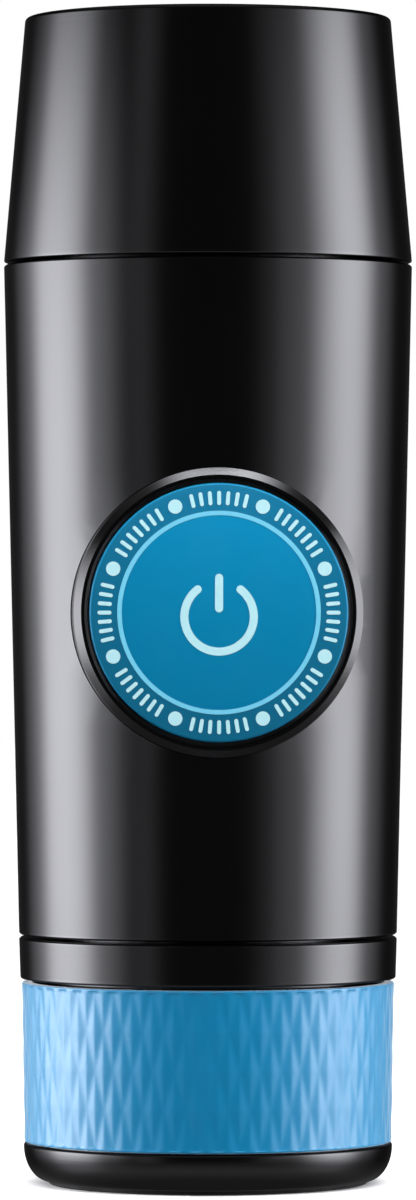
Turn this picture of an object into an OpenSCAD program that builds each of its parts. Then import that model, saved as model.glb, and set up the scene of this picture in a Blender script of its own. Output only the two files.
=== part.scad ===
// Portable electric espresso maker.
// Millimetres, +Z up. The origin is the centre of the foot pad's underside, and the button faces -Y.

/* [Outer form] */
// Height of the drinking cup, from the floor to its rim
cup_height = 34.6; // [33:0.1:40]
// Height of the black band that turns the brew head
band_height = 7.1; // [6:0.1:10]
// Height of the body shell
body_height = 114.6; // [113:0.1:122]
// Height of the cap
cap_height = 41.9; // [39:0.1:48]
// Joint line between two outer pieces
seam_gap = 0.5; // [0.4:0.1:1]
// Radius of the body and the cap at their joint line
seam_r = 35; // [34.8:0.1:37]
// Radius of the body at its foot
body_foot_r = 32.4; // [32.2:0.1:33.5]
// Radius of the band at its lower edge
band_bottom_r = 32.2; // [31.9:0.1:33]
// Radius of the cap's top
cap_top_r = 31.4; // [31.2:0.1:34]
// Rounding of the cap's top edge
cap_edge_r = 0.8; // [0.5:0.1:2]
// Bevel on the edges beside a joint line
seam_bevel = 0.3; // [0.2:0.1:0.8]

/* [Cup] */
// Radius of the cup's base
base_r = 31.6; // [31.3:0.1:33]
// Height of the cup's base below the sleeve
base_height = 7; // [6.5:0.1:9]
// Rounding of the base's lower edge
base_corner_r = 5; // [4:0.1:5.5]
// Rounding of the base's upper edge
base_edge_r = 0.5; // [0.4:0.1:1]
// Radius of the sleeve at its top
sleeve_top_r = 31.9; // [31.6:0.1:32.4]
// Radius of the sleeve at its bottom
sleeve_bottom_r = 31.5; // [31.3:0.1:32.2]
// Radius of the cup wall under the sleeve
sleeve_seat_r = 30.2; // [29.8:0.1:30.6]
// Radius of the cup's mouth
cup_mouth_r = 28.3; // [27.9:0.1:28.6]
// Radius of the cup's flat floor
cup_floor_r = 21; // [18:0.1:23]
// Thickness of the cup's floor above the foot pad
cup_floor_t = 3.2; // [2:0.1:4]
// Radius of the foot pad
foot_r = 27.4; // [25:0.1:27.6]
// Thickness of the foot pad
foot_t = 1.3; // [1:0.1:2]
// Height of the foot pad below the base
foot_proud = 0.8; // [0.6:0.1:1]

/* [Walls and clearances] */
// Wall of the body shell
shell_wall = 2.2; // [1.8:0.1:2.4]
// Wall of the cap
cap_wall = 2; // [1.6:0.1:2.2]
// Thickness of the cap's top
cap_top_t = 2.4; // [1.8:0.1:3]
// Clearance between fixed pieces
fit_gap = 0.15; // [0.05:0.05:0.25]
// Clearance of a shaft in its bush
shaft_gap = 0.05; // [0.02:0.01:0.08]
// Clearance between pieces that move past each other
move_gap = 0.3; // [0.25:0.05:0.4]

/* [Screw threads] */
// Rise of a thread in one turn
thread_lead = 12; // [11:0.5:13]
// Number of thread starts
thread_starts = 3; // [3]
// Height of a thread ridge above its wall
thread_depth = 0.9; // [0.7:0.05:1]
// Radial room between a ridge and the wall it faces
thread_gap = 0.4; // [0.3:0.05:0.5]
// Width of a ridge at its root
thread_width = 1.6; // [1.2:0.1:1.7]
// Arc of one ridge, in degrees
thread_arc = 72; // [50:1:80]

/* [Brew head] */
// Height of the group head
group_height = 17.8; // [17.5:0.1:20]
// Radius of the group head
group_r = 29.8; // [29.4:0.1:29.9]
// Radius of the threaded socket in the group head
group_socket_r = 26.2; // [26:0.1:26.4]
// Depth of the threaded socket
group_socket_depth = 10.2; // [10:0.1:11]
// Length of the threaded neck above the body's lip
neck_length = 7.4; // [7.2:0.1:7.8]
// Wall of the threaded neck
neck_wall = 2.3; // [1.9:0.1:2.6]
// Depth of the filter basket
basket_depth = 19.5; // [16:0.1:20]
// Sheet thickness of the filter basket
basket_sheet = 0.6; // [0.4:0.1:0.8]
// Radius of a hole in the basket and the shower screen
filter_hole_r = 0.6; // [0.4:0.1:0.8]
// Radius of the spout's bore
spout_bore_r = 2.6; // [2.2:0.1:3]
// Height of the spout's tip above the floor
spout_tip_z = 15.5; // [14:0.1:17]
// Radius of the seal's cord on the spigot
cup_seal_cord_r = 0.8; // [0.6:0.05:0.9]

/* [Button] */
// Height of the button's centre
button_z = 97.8; // [95:0.1:100]
// Radius of the button's face
button_r = 21.6; // [20:0.1:21.7]
// Inside radius of the bezel
bezel_inner_r = 22.4; // [22.2:0.1:22.6]
// Outside radius of the bezel
bezel_outer_r = 24.2; // [24:0.1:25]
// Width of the bezel's bevel
bezel_bevel = 1.2; // [0.5:0.1:1.4]
// Height of the bezel in front of the body
bezel_proud = 2.3; // [1.8:0.1:3]
// Height of the button in front of the bezel
button_proud = 0.6; // [0.3:0.1:1]
// Travel of the button
button_travel = 1.2; // [0.6:0.1:1.3]
// Depth of the button housing, from the bezel's front to its floor
housing_depth = 14.5; // [14:0.1:14.9]
// Thickness of the housing's floor
housing_floor_t = 2; // [1.6:0.1:2.2]

/* [Power] */
// Radius of a battery cell
cell_r = 9.2; // [9:0.05:9.3]
// Length of a battery cell
cell_length = 65; // [63:0.5:66]
// Distance of each cell from the middle plane
cell_x = 20.3; // [20.1:0.1:20.4]
// Radius of the motor
motor_r = 12.2; // [11.5:0.1:12.3]
// Length of the motor's can
motor_length = 30; // [26:0.5:31]
// Distance of the motor behind the axis
motor_y = 16.5; // [16.2:0.1:16.8]
// Height of the charging socket's centre
port_z = 116; // [115:0.1:117]

/* [Pump] */
// Teeth on each pump gear
gear_teeth = 10; // [10]
// Module of the pump gears
gear_module = 1; // [1]
// Length of the pump gears
gear_length = 9.6; // [8:0.1:11]
// Radius of the pump shafts
shaft_r = 1.5; // [1.3:0.05:1.6]
// Distance of the inlet and the relief valve from the middle plane
port_x = 16; // [15.8:0.1:16.2]
// Inside radius of the inlet hose
hose_bore_r = 2.3; // [2:0.1:2.4]
// Wall of the inlet hose
hose_wall = 1.1; // [0.8:0.1:1.1]

/* [Water tank] */
// Sheet thickness of the water tank
tank_sheet = 0.6; // [0.4:0.1:0.7]
// Length of the tank's neck above the body
tank_neck = 31; // [29:0.1:33]
// Wall of the neck that the cap screws on
tank_neck_wall = 1.5; // [1.3:0.1:1.8]
// Room between the cap's wall and its liner
liner_room = 0.3; // [0.2:0.1:0.6]
// Thickness of the cap's sealing ring
gasket_t = 1.8; // [1.2:0.1:2.2]

/* [Hidden] */
$fn = 64;

// Colours
satin_black = [0.06, 0.06, 0.07];
moulded_black = [0.1, 0.1, 0.11];
accent_blue = [0.02, 0.47, 0.66];
steel = [0.72, 0.73, 0.75];
board_green = [0.05, 0.3, 0.16];
cell_wrap = [0.16, 0.36, 0.6];
silicone_grey = [0.55, 0.56, 0.58];
moulded_white = [0.85, 0.85, 0.83];
copper = [0.72, 0.45, 0.2];

// Heights of the outer pieces
band_z0 = cup_height + seam_gap;
band_z1 = band_z0 + band_height;
body_z0 = band_z1 + seam_gap;
body_z1 = body_z0 + body_height;
cap_z0 = body_z1 + seam_gap;
top_z = cap_z0 + cap_height;

// Cup: the base's lower rounding stops at the ledge round the foot pad, a dip short of turning level
base_dip = 0.3;
base_corner_z = foot_proud - base_dip + base_corner_r;
base_corner_end = asin((base_dip - base_corner_r) / base_corner_r);

// Body shell
lip_t = 1.5;
lip_r = group_socket_r + 2;
group_z0 = body_z0 + lip_t;
deck_z = group_z0 + group_height;

// Threads: the ridges of the two halves lie half a pitch apart
thread_pitch = thread_lead / thread_starts;
thread_crest = thread_width * 0.5;
thread_root = 0.5;
thread_step = 6;
thread_phase = 25;

// Brew head
neck_r = group_socket_r - thread_gap - thread_depth;
neck_z1 = group_z0 + neck_length;
ledge_z = neck_z1 - 0.1;
flange_z = ledge_z + basket_sheet;
basket_bore_r = neck_r - neck_wall;
basket_r = basket_bore_r - move_gap;
basket_flange_r = neck_r - move_gap;
spigot_r = cup_mouth_r - move_gap;
spigot_length = 8;
spigot_z0 = band_z0 - spigot_length;
basket_z0 = neck_z1 - basket_depth;
funnel_z1 = basket_z0 - move_gap;
funnel_z0 = funnel_z1 - 8;
spout_wall = 2;
band_edge_r = 0.4;
ceiling_z = group_z0 + group_socket_depth;
group_thread_z = group_z0 + 0.3 + thread_width / 2;
screen_t = 0.8;
screen_r = basket_bore_r - 0.8;
screw_hole_r = 1.3;

// Button: lengths along the button's axis, counted from the body's axis towards the front
function body_r(z) = body_foot_r + (seam_r - body_foot_r) * (z - body_z0) / body_height;
function cap_r(z) = seam_r + (cap_top_r - seam_r) * (z - cap_z0) / cap_height;
bezel_front = body_r(button_z) + bezel_proud;
button_front = bezel_front + button_proud;
button_cap_t = 2.4;
button_skirt = 10;
button_skirt_wall = 1.5;
button_bore_r = button_r - button_skirt_wall;
carrier_t = 1.6;
carrier_back = button_front - button_cap_t - carrier_t;
floor_front = bezel_front - housing_depth;
floor_back = floor_front - housing_floor_t;
board_t = 1.6;
board_front = floor_back - 1.8;
board_back = board_front - board_t;
carrier_plate_front = board_back - 1.8;
carrier_plate_t = 2;
carrier_plate_back = carrier_plate_front - carrier_plate_t;
board_w = 28;
board_h = 42;
board_boss_x = 10.5;
board_boss_z = 17.5;
leg_x = 17.5;
leg_z = 9;
leg_r = 2.6;
guide_pin_r = 1.5;
guide_circle_r = 13;
guide_end = floor_back + 0.6;
switch_w = 6;
switch_h = 4.6;
switch_top = board_front + switch_h;
stem_r = 1.7;
stem_top = switch_top + 2.8;
plunger_r = 2.6;
button_spring_r = 6.2;
button_spring_wire_r = 0.45;
button_spring_turns = 5;
spring_sides = 6;
screw_head_r = 2.2;
screw_head_t = 1.2;
connector_w = 17;
connector_h = 6;
connector_back = carrier_plate_back - 0.6;

// Chassis
plate_z0 = deck_z + cell_length + 0.6;
plate_t = 3;
plate_z1 = plate_z0 + plate_t;
chassis_gap = 0.4;
chassis_r = min(body_r(deck_z), body_r(plate_z0)) - shell_wall - chassis_gap;
plate_r = body_r(plate_z0) - shell_wall - chassis_gap;
cell_y = -1;
cell_z0 = deck_z + 0.15;
cell_z1 = cell_z0 + cell_length;
strap_t = 0.25;
strap_w = 6;
saddle_h = 3;
saddle_wall = 1;
spacer_x = 15.5;
spacer_r = 2.5;
spacer_y = sqrt(pow(chassis_r - spacer_r, 2) - pow(spacer_x, 2));
tie_head_z = plate_z1 - screw_head_t - 0.2;
carrier_w = 40;

// Pump
gear_centres = gear_module * gear_teeth;
gear_pressure_angle = 28;
gear_tip_r = gear_module * (gear_teeth / 2 + 0.9);
gear_root_r = gear_module * (gear_teeth / 2 - 1.2);
gear_backlash = 0.12;
idler_y = motor_y - gear_centres;
mesh_y = motor_y - gear_centres / 2;
chamber_r = gear_tip_r + shaft_gap + 0.1;
pump_wall = 3;
pump_r = chamber_r + pump_wall;
port_plate_t = 2;
pump_z0 = deck_z + port_plate_t;
gear_end_gap = 0.2;
pump_z1 = pump_z0 + gear_length + 2 * gear_end_gap;
cover_t = 2;
motor_z0 = pump_z1 + cover_t;
motor_z1 = motor_z0 + motor_length;
motor_wall = 1;
endcap_t = 2;
motor_tab_x = 6;
motor_tab_y = 8;
motor_tab_t = 0.8;
motor_tab_w = 2.4;
motor_tab_h = 3;
magnet_t = 2;
rotor_z0 = motor_z0 + 5;
rotor_length = motor_length - 12;
rotor_slots = 5;
rotor_slot_w = 1.6;
rotor_slot_depth = 3;
commutator_wall = 2;
commutator_h = 6;
collar_wall = 1;
collar_h = 4;
lobe_r = 3.6;
ear_x = 6.6;
ear_y = 6;
ear_r = 2.6;
pump_screw_r = 1.1;
pump_screw_head_r = 2;
passage_r = 1.2;
passage_z = pump_z0 + 3;
relief_bore_r = 2.4;
relief_seat_z = passage_z + 1.6;
relief_poppet_h = 1.5;
barb_r = hose_bore_r - 0.1;
barb_bore_r = 1.4;
barb_length = 6;

// Cap: the liner fits inside the cap, and the tank's neck inside the liner
tank_seal_t = 0.6;
neck_top_z = body_z1 + tank_neck;
tank_top_z = neck_top_z + tank_seal_t + tank_sheet;
liner_wall = 1.4;
liner_disc_z = tank_top_z + 0.1 + gasket_t;
liner_disc_t = 2.2;
liner_r = cap_r(liner_disc_z + liner_disc_t) - cap_wall - liner_room;
cap_socket_r = liner_r - liner_wall;
cap_thread_z = cap_z0 + 3 + thread_width / 2;
liner_flange_z = cap_z0 + 0.8;
liner_flange_t = 2;
liner_flange_r = cap_r(liner_flange_z + liner_flange_t) - cap_wall - fit_gap;

// Tank and heater
heater_t = 1.9;
heater_gap = 0.4;
tank_z0 = plate_z1 + heater_gap + heater_t + 0.1;
tank_neck_r = cap_socket_r - thread_gap - thread_depth;
tank_neck_bore_r = tank_neck_r - tank_neck_wall;
tank_outer_r = tank_neck_bore_r - 0.2;
tank_r = tank_outer_r - tank_sheet;
tank_flange_r = tank_neck_r - 0.1;
insulation_t = 2.4;
jacket_wall = 1.9;
jacket_bore_r = tank_outer_r + insulation_t;
jacket_r = jacket_bore_r + jacket_wall;
jacket_flange_h = 7;
jacket_flange_r = body_r(body_z1 - jacket_flange_h) - shell_wall - fit_gap;
jacket_ring_r = tank_r - 0.4;
jacket_ring_t = 2.4;
jacket_screw_circle = (jacket_ring_r + jacket_r) / 2;
heater_r = jacket_ring_r - 1;
gasket_inner_r = tank_r - 0.4;

// Charging socket and its cover
port_w = 9.6;
port_h = 3.9;
socket_w = 8.9;
socket_h = 3.2;
socket_wall = 0.35;
socket_depth = 8;
cover_w = 15.5;
cover_h = 9;
cover_recess = 1.6;
cover_gap = 0.25;
barrel_r = 0.6;
barrel_x = 2.6;
hinge_z = port_z - cover_h / 2 + 0.65;
hinge_y = body_r(hinge_z) - 0.8;
hinge_pin_r = 0.3;
knuckle_r = 0.55;
knuckle_x0 = barrel_x + 0.1;
knuckle_x1 = knuckle_x0 + 1.1;
port_r = body_r(port_z);
socket_front = port_r - shell_wall + 0.2;
charge_board_t = 1.2;
charge_board_w = 20;
charge_board_l = 15.5;
charge_board_y0 = socket_front - 3 - charge_board_l;
charge_board_z1 = port_z - socket_h / 2;
hang_x = 7.5;
hang_y = charge_board_y0 + charge_board_l / 2;
hang_r = 2;

// Wires
wire_r = 0.8;
wire_sides = 8;
wire_gap = 0.3;
wire_z = button_z + 3;

// Round stretch of an outline, from angle a0 to a1 about a centre
function arc(cx, cy, r, a0, a1, n = 8) =
    [for (i = [0:n]) let (a = a0 + (a1 - a0) * i / n) [cx + r * cos(a), cy + r * sin(a)]];

module spin(points) {
    rotate_extrude() polygon(points);
}

module ring(r_out, r_in, z0, z1) {
    translate([0, 0, z0])
        difference() {
            cylinder(r = r_out, h = z1 - z0);
            translate([0, 0, -1]) cylinder(r = r_in, h = z1 - z0 + 2);
        }
}

module post(x, y, z0, z1, r) {
    translate([x, y, z0]) cylinder(r = r, h = z1 - z0);
}

// A frame whose +Z runs out of the button's face
module on_button() {
    translate([0, 0, button_z]) rotate([90, 0, 0]) children();
}

// A flat plate with round ends along X, centred, its thickness along +Z
module stadium(w, h, t) {
    for (s = [-1, 1]) translate([s * (w - h) / 2, 0, 0]) cylinder(d = h, h = t);
    translate([-(w - h) / 2, -h / 2, 0]) cube([w - h, h, t]);
}

// Closed mesh through rings of points that are all the same length
module loft(rings) {
    n = len(rings[0]);
    m = len(rings);
    side = [for (i = [0:m - 2], j = [0:n - 1]) let (k = (j + 1) % n)
        each [[i * n + j, i * n + k, (i + 1) * n + k], [i * n + j, (i + 1) * n + k, (i + 1) * n + j]]];
    caps = [for (j = [1:n - 2]) each [[0, j + 1, j], [(m - 1) * n, (m - 1) * n + j, (m - 1) * n + j + 1]]];
    polyhedron([for (r = rings) each r], [for (f = concat(side, caps)) [f[2], f[1], f[0]]]);
}

// Helical ridges of one thread half, from radius r0 at the root to r1 at the crest
module thread(r0, r1, z) {
    steps = ceil(thread_arc / thread_step);
    out = r1 > r0 ? 1 : -1;
    root = r0 - out * thread_root;
    root_half = thread_width / 2;
    crest_half = thread_crest / 2;
    section = out > 0
        ? [[root, root_half], [r1, crest_half], [r1, -crest_half], [root, -root_half]]
        : [[r1, crest_half], [root, root_half], [root, -root_half], [r1, -crest_half]];
    for (s = [0:thread_starts - 1])
        rotate([0, 0, thread_phase + 360 * s / thread_starts])
            loft([for (i = [0:steps]) let (a = thread_arc * i / steps)
                [for (p = section) [p[0] * cos(a), p[0] * sin(a), z + thread_lead * a / 360 + p[1]]]]);
}

// Points of a helix about Z
function helix(r, z0, z1, turns, per_turn = 12) =
    [for (i = [0:turns * per_turn]) let (a = 360 * i / per_turn)
        [r * cos(a), r * sin(a), z0 + (z1 - z0) * i / (turns * per_turn)]];

function unit(v) = v / norm(v);
function tangent(p, i) = unit(p[min(i + 1, len(p) - 1)] - p[max(i - 1, 0)]);

// Round wire along a list of points, whose rings stay square to the wire
module wire(points, r, sides, up = [0, 0, 1]) {
    loft([for (i = [0:len(points) - 1])
        let (t = tangent(points, i), u = unit(cross(up, t)), v = cross(t, u))
        [for (j = [0:sides - 1]) let (a = 360 * j / sides) points[i] + r * (cos(a) * u + sin(a) * v)]]);
}

// Smooth curve through hand-chosen points
function smooth(p, n = 4) =
    [for (i = [0:len(p) - 2], k = [0:n - 1])
        let (t = k / n, a = p[max(i - 1, 0)], b = p[i], c = p[i + 1], d = p[min(i + 2, len(p) - 1)])
        b + 0.5 * t * ((c - a) + t * ((2 * a - 5 * b + 4 * c - d) + t * (3 * b - a - 3 * c + d))),
     p[len(p) - 1]];

// Rings of small holes in a sheet
module filter_holes(r_max, z0, z1) {
    hole_pitch = 4.6;
    for (k = [1:floor(r_max / hole_pitch)], i = [0:6 * k - 1])
        rotate([0, 0, 60 * i / k]) post(hole_pitch * k, 0, z0, z1, filter_hole_r);
}

// Flat-headed screw, its head's underside at z and its shank along -Z
module screw(z, length, shank_r, head_r = screw_head_r, head_t = screw_head_t) {
    translate([0, 0, z]) cylinder(r = head_r, h = head_t);
    translate([0, 0, z - length]) cylinder(r = shank_r, h = length + 0.1);
}

// Cup

module cup_shell() {
    floor_z = foot_t + cup_floor_t;
    wall_z = spigot_z0 - 3;
    color(satin_black) spin(concat(
        [[0, foot_t], [foot_r + fit_gap, foot_t], [foot_r + fit_gap, foot_proud]],
        arc(base_r - base_corner_r, base_corner_z, base_corner_r, base_corner_end, 0, 20),
        arc(base_r - base_edge_r, base_height - base_edge_r, base_edge_r, 0, 90),
        [[sleeve_seat_r, base_height],
         [sleeve_seat_r, cup_height - 0.4], [sleeve_seat_r - 0.4, cup_height],
         [cup_mouth_r + 0.4, cup_height], [cup_mouth_r, cup_height - 0.4],
         [cup_mouth_r, wall_z], [cup_floor_r + 5, floor_z + 4]],
        arc(cup_floor_r + 1, floor_z + 4, 4, 0, -90),
        [[0, floor_z]]));
}

module cup_sleeve() {
    bevel = 0.3;
    z0 = base_height + 0.2;
    z1 = cup_height - 0.1;
    color(accent_blue) spin([
        [sleeve_seat_r + 0.05, z0], [sleeve_bottom_r - bevel, z0], [sleeve_bottom_r, z0 + bevel],
        [sleeve_top_r, z1 - bevel], [sleeve_top_r - bevel, z1], [sleeve_seat_r + 0.05, z1]]);
}

module cup_foot() {
    bevel = 0.2;
    color(moulded_black) spin([[0, 0], [foot_r - bevel, 0], [foot_r, bevel], [foot_r, foot_t], [0, foot_t]]);
}

// Brew head

module basket_holder() {
    groove_z = spigot_z0 + spigot_length / 2;
    groove_r = spigot_r - 2 * cup_seal_cord_r;
    groove_h = 2 * cup_seal_cord_r + 0.4;
    color(satin_black) {
        spin(concat(
            [[spout_bore_r, spout_tip_z], [spout_bore_r + spout_wall - 0.4, spout_tip_z],
             [spout_bore_r + spout_wall, spout_tip_z + 0.6], [spout_bore_r + spout_wall, funnel_z0],
             [spigot_r - 1, spigot_z0], [spigot_r, spigot_z0 + 1],
             [spigot_r, groove_z - groove_h / 2], [groove_r, groove_z - groove_h / 2],
             [groove_r, groove_z + groove_h / 2], [spigot_r, groove_z + groove_h / 2], [spigot_r, band_z0]],
            arc(band_bottom_r - band_edge_r, band_z0 + band_edge_r, band_edge_r, -90, 0),
            [[body_foot_r, band_z1 - seam_bevel], [body_foot_r - seam_bevel, band_z1],
             [neck_r, band_z1], [neck_r, ledge_z], [basket_bore_r, ledge_z],
             [basket_bore_r, funnel_z1], [spout_bore_r, funnel_z0]]));
        thread(neck_r, neck_r + thread_depth, group_thread_z + thread_pitch / 2);
    }
}

module filter_basket() {
    inner = basket_r - basket_sheet;
    floor_z = basket_z0 + basket_sheet;
    color(steel) difference() {
        spin([[0, basket_z0], [basket_r, basket_z0], [basket_r, ledge_z], [basket_flange_r, ledge_z],
              [basket_flange_r, flange_z], [inner, flange_z], [inner, floor_z], [0, floor_z]]);
        filter_holes(basket_r - 3, basket_z0 - 1, floor_z + 1);
    }
}

module cup_seal() {
    z = spigot_z0 + spigot_length / 2;
    color(silicone_grey)
        rotate_extrude() translate([cup_mouth_r - 0.05 - cup_seal_cord_r, z]) circle(r = cup_seal_cord_r);
}

// Group head

module cell_saddles(z0, z1) {
    inner = cell_r + fit_gap;
    for (s = [0, 1]) mirror([s, 0, 0])
        translate([cell_x, cell_y, z0]) rotate([0, 0, 150])
            rotate_extrude(angle = 150) translate([inner, 0]) square([saddle_wall, z1 - z0]);
}

module group_head() {
    seal_groove_r = basket_bore_r - 0.4;
    chamber_h = 2.6;
    boss_r = 4;
    color(moulded_black) {
        difference() {
            union() {
                spin([[group_socket_r, group_z0], [group_r, group_z0], [group_r, deck_z], [0, deck_z],
                      [0, ceiling_z], [boss_r, ceiling_z], [boss_r, ceiling_z + chamber_h],
                      [seal_groove_r - 1.6, ceiling_z + chamber_h], [seal_groove_r - 1.6, ceiling_z],
                      [seal_groove_r, ceiling_z], [seal_groove_r, ceiling_z + 1.6],
                      [neck_r + 0.2, ceiling_z + 1.6], [neck_r + 0.2, ceiling_z],
                      [group_socket_r, ceiling_z]]);
                cell_saddles(deck_z - 0.5, deck_z + saddle_h);
            }
            for (s = [-1, 1]) post(s * spacer_x, spacer_y, deck_z - 6, deck_z + 1, screw_hole_r);
            post(0, 0, ceiling_z - 1, ceiling_z + 5, screw_hole_r);
            post(-port_x + lobe_r, mesh_y, ceiling_z, deck_z + 1, passage_r);
            for (s = [-1, 1], y = [motor_y + ear_y, idler_y - ear_y])
                post(s * ear_x, y, deck_z - 4.5, deck_z + 1, pump_screw_r + shaft_gap);
        }
        thread(group_socket_r, group_socket_r - thread_depth, group_thread_z);
    }
}

module group_seal() {
    color(silicone_grey) ring(neck_r + 0.1, basket_bore_r - 0.3, flange_z + 0.1, ceiling_z + 1.5);
}

module shower_screen() {
    color(steel) difference() {
        translate([0, 0, ceiling_z - screen_t]) cylinder(r = screen_r, h = screen_t);
        post(0, 0, ceiling_z - screen_t - 1, ceiling_z + 1, screw_hole_r);
        filter_holes(screen_r - 2, ceiling_z - screen_t - 1, ceiling_z + 1);
    }
}

module shower_screw() {
    color(steel) mirror([0, 0, 1])
        screw(screen_t - ceiling_z, screen_t + 4.5, screw_hole_r - shaft_gap);
}

// Body shell

module cover_outline(margin, t) {
    translate([0, 0, port_z]) rotate([-90, 0, 0]) stadium(cover_w + 2 * margin, cover_h + 2 * margin, t);
}

// Round bar on the hinge's axis at the foot of the charging cover
module hinge_bar(x0, x1, r) {
    translate([x0, hinge_y, hinge_z]) rotate([0, 90, 0]) cylinder(r = r, h = x1 - x0);
}

// Knuckle that holds one of the cover's hinge pins, on the floor of the cover's recess
module hinge_knuckle() {
    root = cover_recess - 0.4;
    difference() {
        union() {
            hinge_bar(knuckle_x0, knuckle_x1, knuckle_r);
            translate([knuckle_x0, hinge_y - root, hinge_z - knuckle_r])
                cube([knuckle_x1 - knuckle_x0, root, 2 * knuckle_r]);
        }
        hinge_bar(knuckle_x0 - 1, knuckle_x1 + 1, hinge_pin_r + shaft_gap);
    }
}

// Solid of the body's outline, drawn in by a depth
module body_solid(depth) {
    translate([0, 0, body_z0]) cylinder(r1 = body_foot_r - depth, r2 = seam_r - depth, h = body_height);
}

module body_shell() {
    color(satin_black) {
        difference() {
            spin([[lip_r, body_z0], [body_foot_r - seam_bevel, body_z0],
                  [body_r(body_z0 + seam_bevel), body_z0 + seam_bevel],
                  [body_r(body_z1 - seam_bevel), body_z1 - seam_bevel], [seam_r - seam_bevel, body_z1],
                  [seam_r - shell_wall, body_z1], [body_r(group_z0) - shell_wall, group_z0],
                  [lip_r, group_z0]]);
            on_button() cylinder(r = bezel_outer_r + fit_gap, h = seam_r + 5);
            translate([0, 0, port_z]) rotate([-90, 0, 0]) stadium(port_w, port_h, seam_r + 5);
            difference() {
                cover_outline(cover_gap, seam_r + 5);
                body_solid(cover_recess);
            }
        }
        for (s = [0, 1]) mirror([s, 0, 0]) hinge_knuckle();
    }
}

// Outline of the cover, ending at the hinge's axis and notched for the knuckles
module cover_prism() {
    depth = seam_r + 8;
    notch_w = cover_w / 2;
    notch_h = cover_h / 2;
    notch_x = barrel_x + notch_w / 2;
    notch_z1 = hinge_z + knuckle_r + cover_gap;
    difference() {
        cover_outline(0, seam_r + 5);
        translate([-cover_w, -1, hinge_z - cover_h]) cube([2 * cover_w, depth, cover_h]);
        for (s = [-1, 1])
            translate([s * notch_x - notch_w / 2, -2, notch_z1 - notch_h])
                cube([notch_w, depth + 2, notch_h]);
    }
}

module port_cover() {
    pin_x = knuckle_x1 - 0.1;
    color(moulded_black) {
        difference() {
            intersection() {
                cover_prism();
                body_solid(0.05);
            }
            body_solid(cover_recess - cover_gap);
        }
        hinge_bar(0.05 - barrel_x, barrel_x - 0.05, barrel_r);
        hinge_bar(-pin_x, pin_x, hinge_pin_r);
    }
}

// Button

module at_legs() {
    for (sx = [-1, 1], sz = [-1, 1]) translate([sx * leg_x, sz * leg_z, 0]) children();
}

module at_guides() {
    for (i = [0:2]) rotate([0, 0, 90 + 120 * i]) translate([guide_circle_r, 0, 0]) children();
}

module button_housing() {
    color(satin_black) on_button() difference() {
        union() {
            spin([[0, floor_back], [bezel_outer_r, floor_back], [bezel_outer_r, bezel_front - bezel_bevel],
                  [bezel_outer_r - bezel_bevel, bezel_front], [bezel_inner_r, bezel_front],
                  [bezel_inner_r, floor_front], [0, floor_front]]);
            at_legs() post(0, 0, carrier_plate_front, floor_back + 0.5, leg_r);
        }
        post(0, 0, floor_back - 1, floor_front + 1, switch_w * 0.8);
        at_guides() post(0, 0, floor_back - 1, floor_front + 1, guide_pin_r + fit_gap);
        at_legs() post(0, 0, carrier_plate_front - 1, floor_front + 1, screw_hole_r);
    }
}

module button_cap() {
    bevel = 0.5;
    back = button_front - button_cap_t;
    skirt_z = button_front - button_skirt;
    color(accent_blue) on_button()
        spin([[0, back], [button_bore_r, back], [button_bore_r, skirt_z], [button_r, skirt_z],
              [button_r, button_front - bevel], [button_r - bevel, button_front], [0, button_front]]);
}

module button_carrier() {
    color(moulded_white) on_button() {
        post(0, 0, carrier_back, carrier_back + carrier_t, button_bore_r - 0.1);
        post(0, 0, stem_top, carrier_back + 0.2, plunger_r);
        at_guides() post(0, 0, guide_end, carrier_back + 0.2, guide_pin_r);
    }
}

module button_spring() {
    z0 = floor_front + button_spring_wire_r;
    z1 = carrier_back - button_spring_wire_r;
    color(steel) on_button()
        wire(helix(button_spring_r, z0, z1, button_spring_turns), button_spring_wire_r, spring_sides);
}

module button_seal() {
    z = button_front - button_skirt + 2;
    color(silicone_grey) on_button() ring(bezel_inner_r - 0.02, button_r + 0.12, z, z + 1.4);
}

module switch_body() {
    color(moulded_black) on_button() difference() {
        translate([-switch_w / 2, -switch_w / 2, board_front]) cube([switch_w, switch_w, switch_h]);
        translate([0, 0, board_front + 0.4]) cylinder(r = stem_r + fit_gap, h = switch_h);
    }
}

module switch_stem() {
    z0 = board_front + 0.4 + button_travel + 0.1;
    color(silicone_grey) on_button() translate([0, 0, z0]) cylinder(r = stem_r, h = stem_top - z0);
}

module at_board_bosses() {
    for (sx = [-1, 1], sz = [-1, 1]) translate([sx * board_boss_x, sz * board_boss_z, 0]) children();
}

module control_board() {
    chip_t = 1;
    color(board_green) on_button() {
        difference() {
            translate([-board_w / 2, -board_h / 2, board_back]) cube([board_w, board_h, board_t]);
            at_board_bosses() translate([0, 0, board_back - 1]) cylinder(r = screw_hole_r, h = board_t + 2);
        }
        for (p = [[-6, -11], [4, -11], [-1, 11]])
            translate([p[0] - 3, p[1] - 2, board_front]) cube([6, 4, chip_t]);
        translate([-connector_w / 2, wire_z - button_z - connector_h / 2, connector_back])
            cube([connector_w, connector_h, board_back - connector_back + 0.1]);
    }
}

module board_carrier() {
    boss_wall = 1.2;
    window_w = connector_w + 0.8;
    window_h = connector_h + 0.8;
    color(moulded_white) difference() {
        union() {
            translate([-carrier_w / 2, -carrier_plate_front, deck_z])
                cube([carrier_w, carrier_plate_t, plate_z0 - deck_z]);
            on_button() at_board_bosses()
                post(0, 0, carrier_plate_back, board_back, screw_hole_r + boss_wall);
        }
        on_button() at_board_bosses() post(0, 0, carrier_plate_back - 1, board_back + 1, screw_hole_r);
        on_button() at_legs() post(0, 0, carrier_plate_back - 1, carrier_plate_front + 1, screw_hole_r);
        translate([-window_w / 2, -carrier_plate_front - 1, wire_z - window_h / 2])
            cube([window_w, carrier_plate_t + 2, window_h]);
    }
}

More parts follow.
